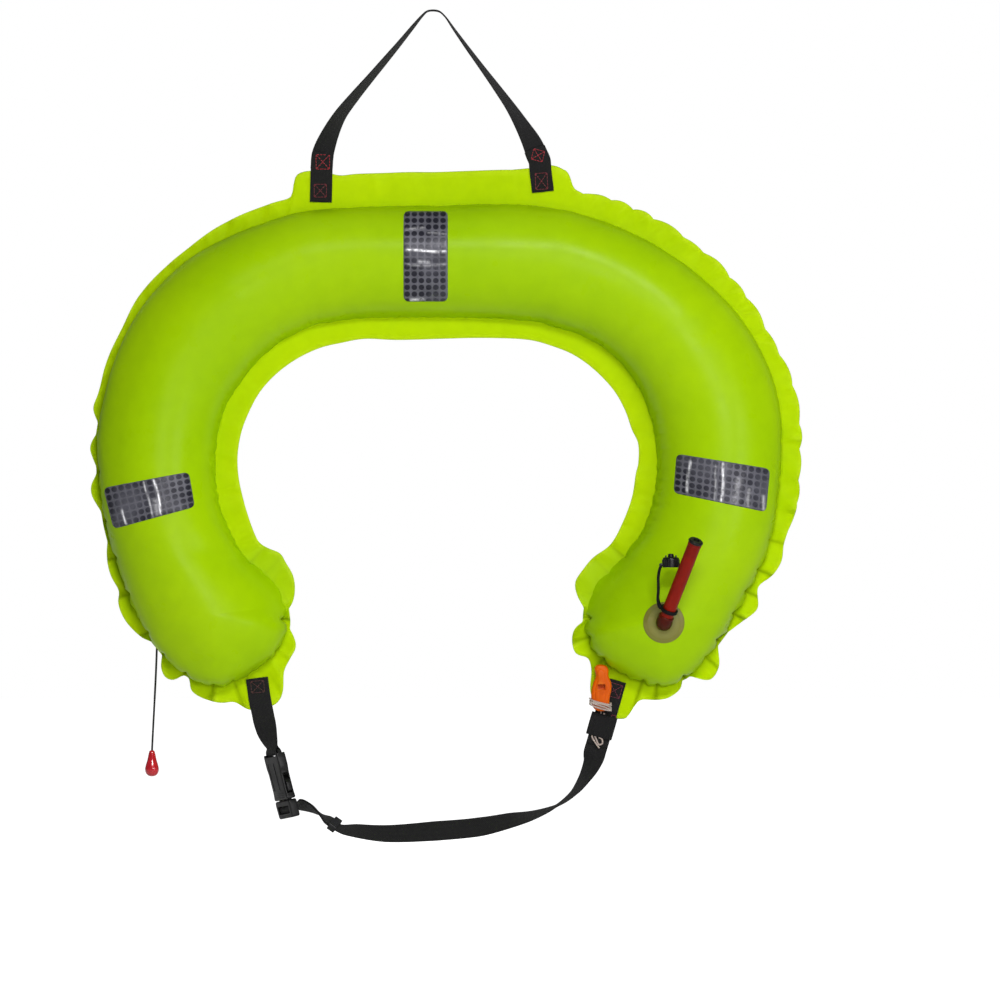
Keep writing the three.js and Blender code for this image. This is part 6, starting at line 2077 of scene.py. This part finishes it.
# ------------------------------------------------------------------ floor, light and camera
def studio_world():
    """White to the camera, a weak cool light to everything else."""
    world = bpy.data.worlds.new("studio")
    scene.world = world
    world.use_nodes = True
    nodes, links = world.node_tree.nodes, world.node_tree.links
    nodes.clear()
    out = nodes.new("ShaderNodeOutputWorld")
    path = nodes.new("ShaderNodeLightPath")
    seen = nodes.new("ShaderNodeBackground")
    ambient = nodes.new("ShaderNodeBackground")
    seen.inputs["Color"].default_value = (1, 1, 1, 1)
    seen.inputs["Strength"].default_value = 1.0
    ambient.inputs["Color"].default_value = (0.96, 0.98, 1, 1)
    ambient.inputs["Strength"].default_value = 0.16
    mix = nodes.new("ShaderNodeMixShader")
    links.new(path.outputs["Is Camera Ray"], mix.inputs[0])
    links.new(ambient.outputs[0], mix.inputs[1])
    links.new(seen.outputs[0], mix.inputs[2])
    links.new(mix.outputs[0], out.inputs["Surface"])


def floor_paint():
    """Near-white paint that glows white to the camera."""
    n = Shader("floor_paint", rough=0.7)
    tone = n.clouds(0.7, to=(0.90, 0.93), detail=2.0)
    grey = n.add("ShaderNodeCombineColor")
    for k in range(3):
        n.feed(grey.inputs[k], tone)
    n.set("Emission Color", (1, 1, 1, 1))
    camera_ray = n.add("ShaderNodeLightPath").outputs["Is Camera Ray"]
    glow = 1.0
    n.feed_bsdf("Emission Strength", n.math("MULTIPLY", camera_ray, glow))
    return n.finish(grey.outputs[0], n.clouds(30.0, to=(0.62, 0.75)),
                    n.bump(n.noise(scale=220.0), strength=0.05, depth=0.3))


def studio_floor():
    material = floor_paint()
    verts, faces = [(0, 0, 0)], []
    rings, sides = [400, 1200, 2600, 5200, 9000, 14000], 96
    for r in rings:
        for i in range(sides):
            a = 2 * math.pi * i / sides
            verts.append((r * math.cos(a), r * math.sin(a), 0))
    for i in range(sides):
        j = (i + 1) % sides
        faces.append([0, 1 + i, 1 + j])
        for q in range(len(rings) - 1):
            a, b = 1 + q * sides, 1 + (q + 1) * sides
            faces.append([a + i, b + i, b + j, a + j])
    floor = new_part(verts, faces, material)
    floor.name = "studio_floor"
    floor.data.name = "studio_floor"
    floor.location = (0.0, 0.0, -1.03)


def area_light(name, at, size, watts, colour=(1, 1, 1), glossy=False):
    """Area light aimed at the buoy; glossy ones show in reflections."""
    aim = (0.02, 0, -0.5)
    light = bpy.data.lights.new(name, "AREA")
    light.shape = "RECTANGLE"
    light.size, light.size_y = size
    light.energy = watts
    light.color = colour
    obj = bpy.data.objects.new(name, light)
    scene.collection.objects.link(obj)
    obj.location = at
    obj.rotation_euler = (Vector(aim) - Vector(at)).to_track_quat("-Z", "Y").to_euler()
    obj.visible_glossy = glossy


def camera():
    """Level camera in front, far off with a long lens."""
    distance, view_width, sensor_width = 12.0, 1.12, 36
    data = bpy.data.cameras.new("photo_view")
    data.sensor_width = sensor_width
    data.lens = sensor_width * distance / view_width
    data.clip_end = 100
    obj = bpy.data.objects.new("photo_view", data)
    scene.collection.objects.link(obj)
    obj.location = (0.07504, -distance, -0.54656)
    obj.rotation_euler = (math.pi / 2, 0, 0)
    scene.camera = obj


studio_world()
studio_floor()
area_light("key", at=(0.55, -3.2, 1.30), size=(1.4, 0.55), watts=58,
           colour=(1, 0.985, 0.975), glossy=True)
area_light("key_low", at=(0.80, -3.6, -0.10), size=(1.2, 0.35), watts=21,
           colour=(1, 0.99, 0.97), glossy=True)
area_light("fill", at=(2.1, -2.5, -0.45), size=(1.0, 1.0), watts=17,
           colour=(0.99, 0.98, 1), glossy=True)
area_light("back", at=(-1.6, 2.8, 1.1), size=(1.8, 1.4), watts=46)
area_light("side", at=(2.7, 1.4, 0.9), size=(1.4, 1.4), watts=14)
area_light("top", at=(-0.3, -0.6, 2.2), size=(1.6, 1.2), watts=7)
camera()
scene.view_settings.view_transform = "Standard"
scene.view_settings.look = "None"
scene.view_settings.exposure = 0.0
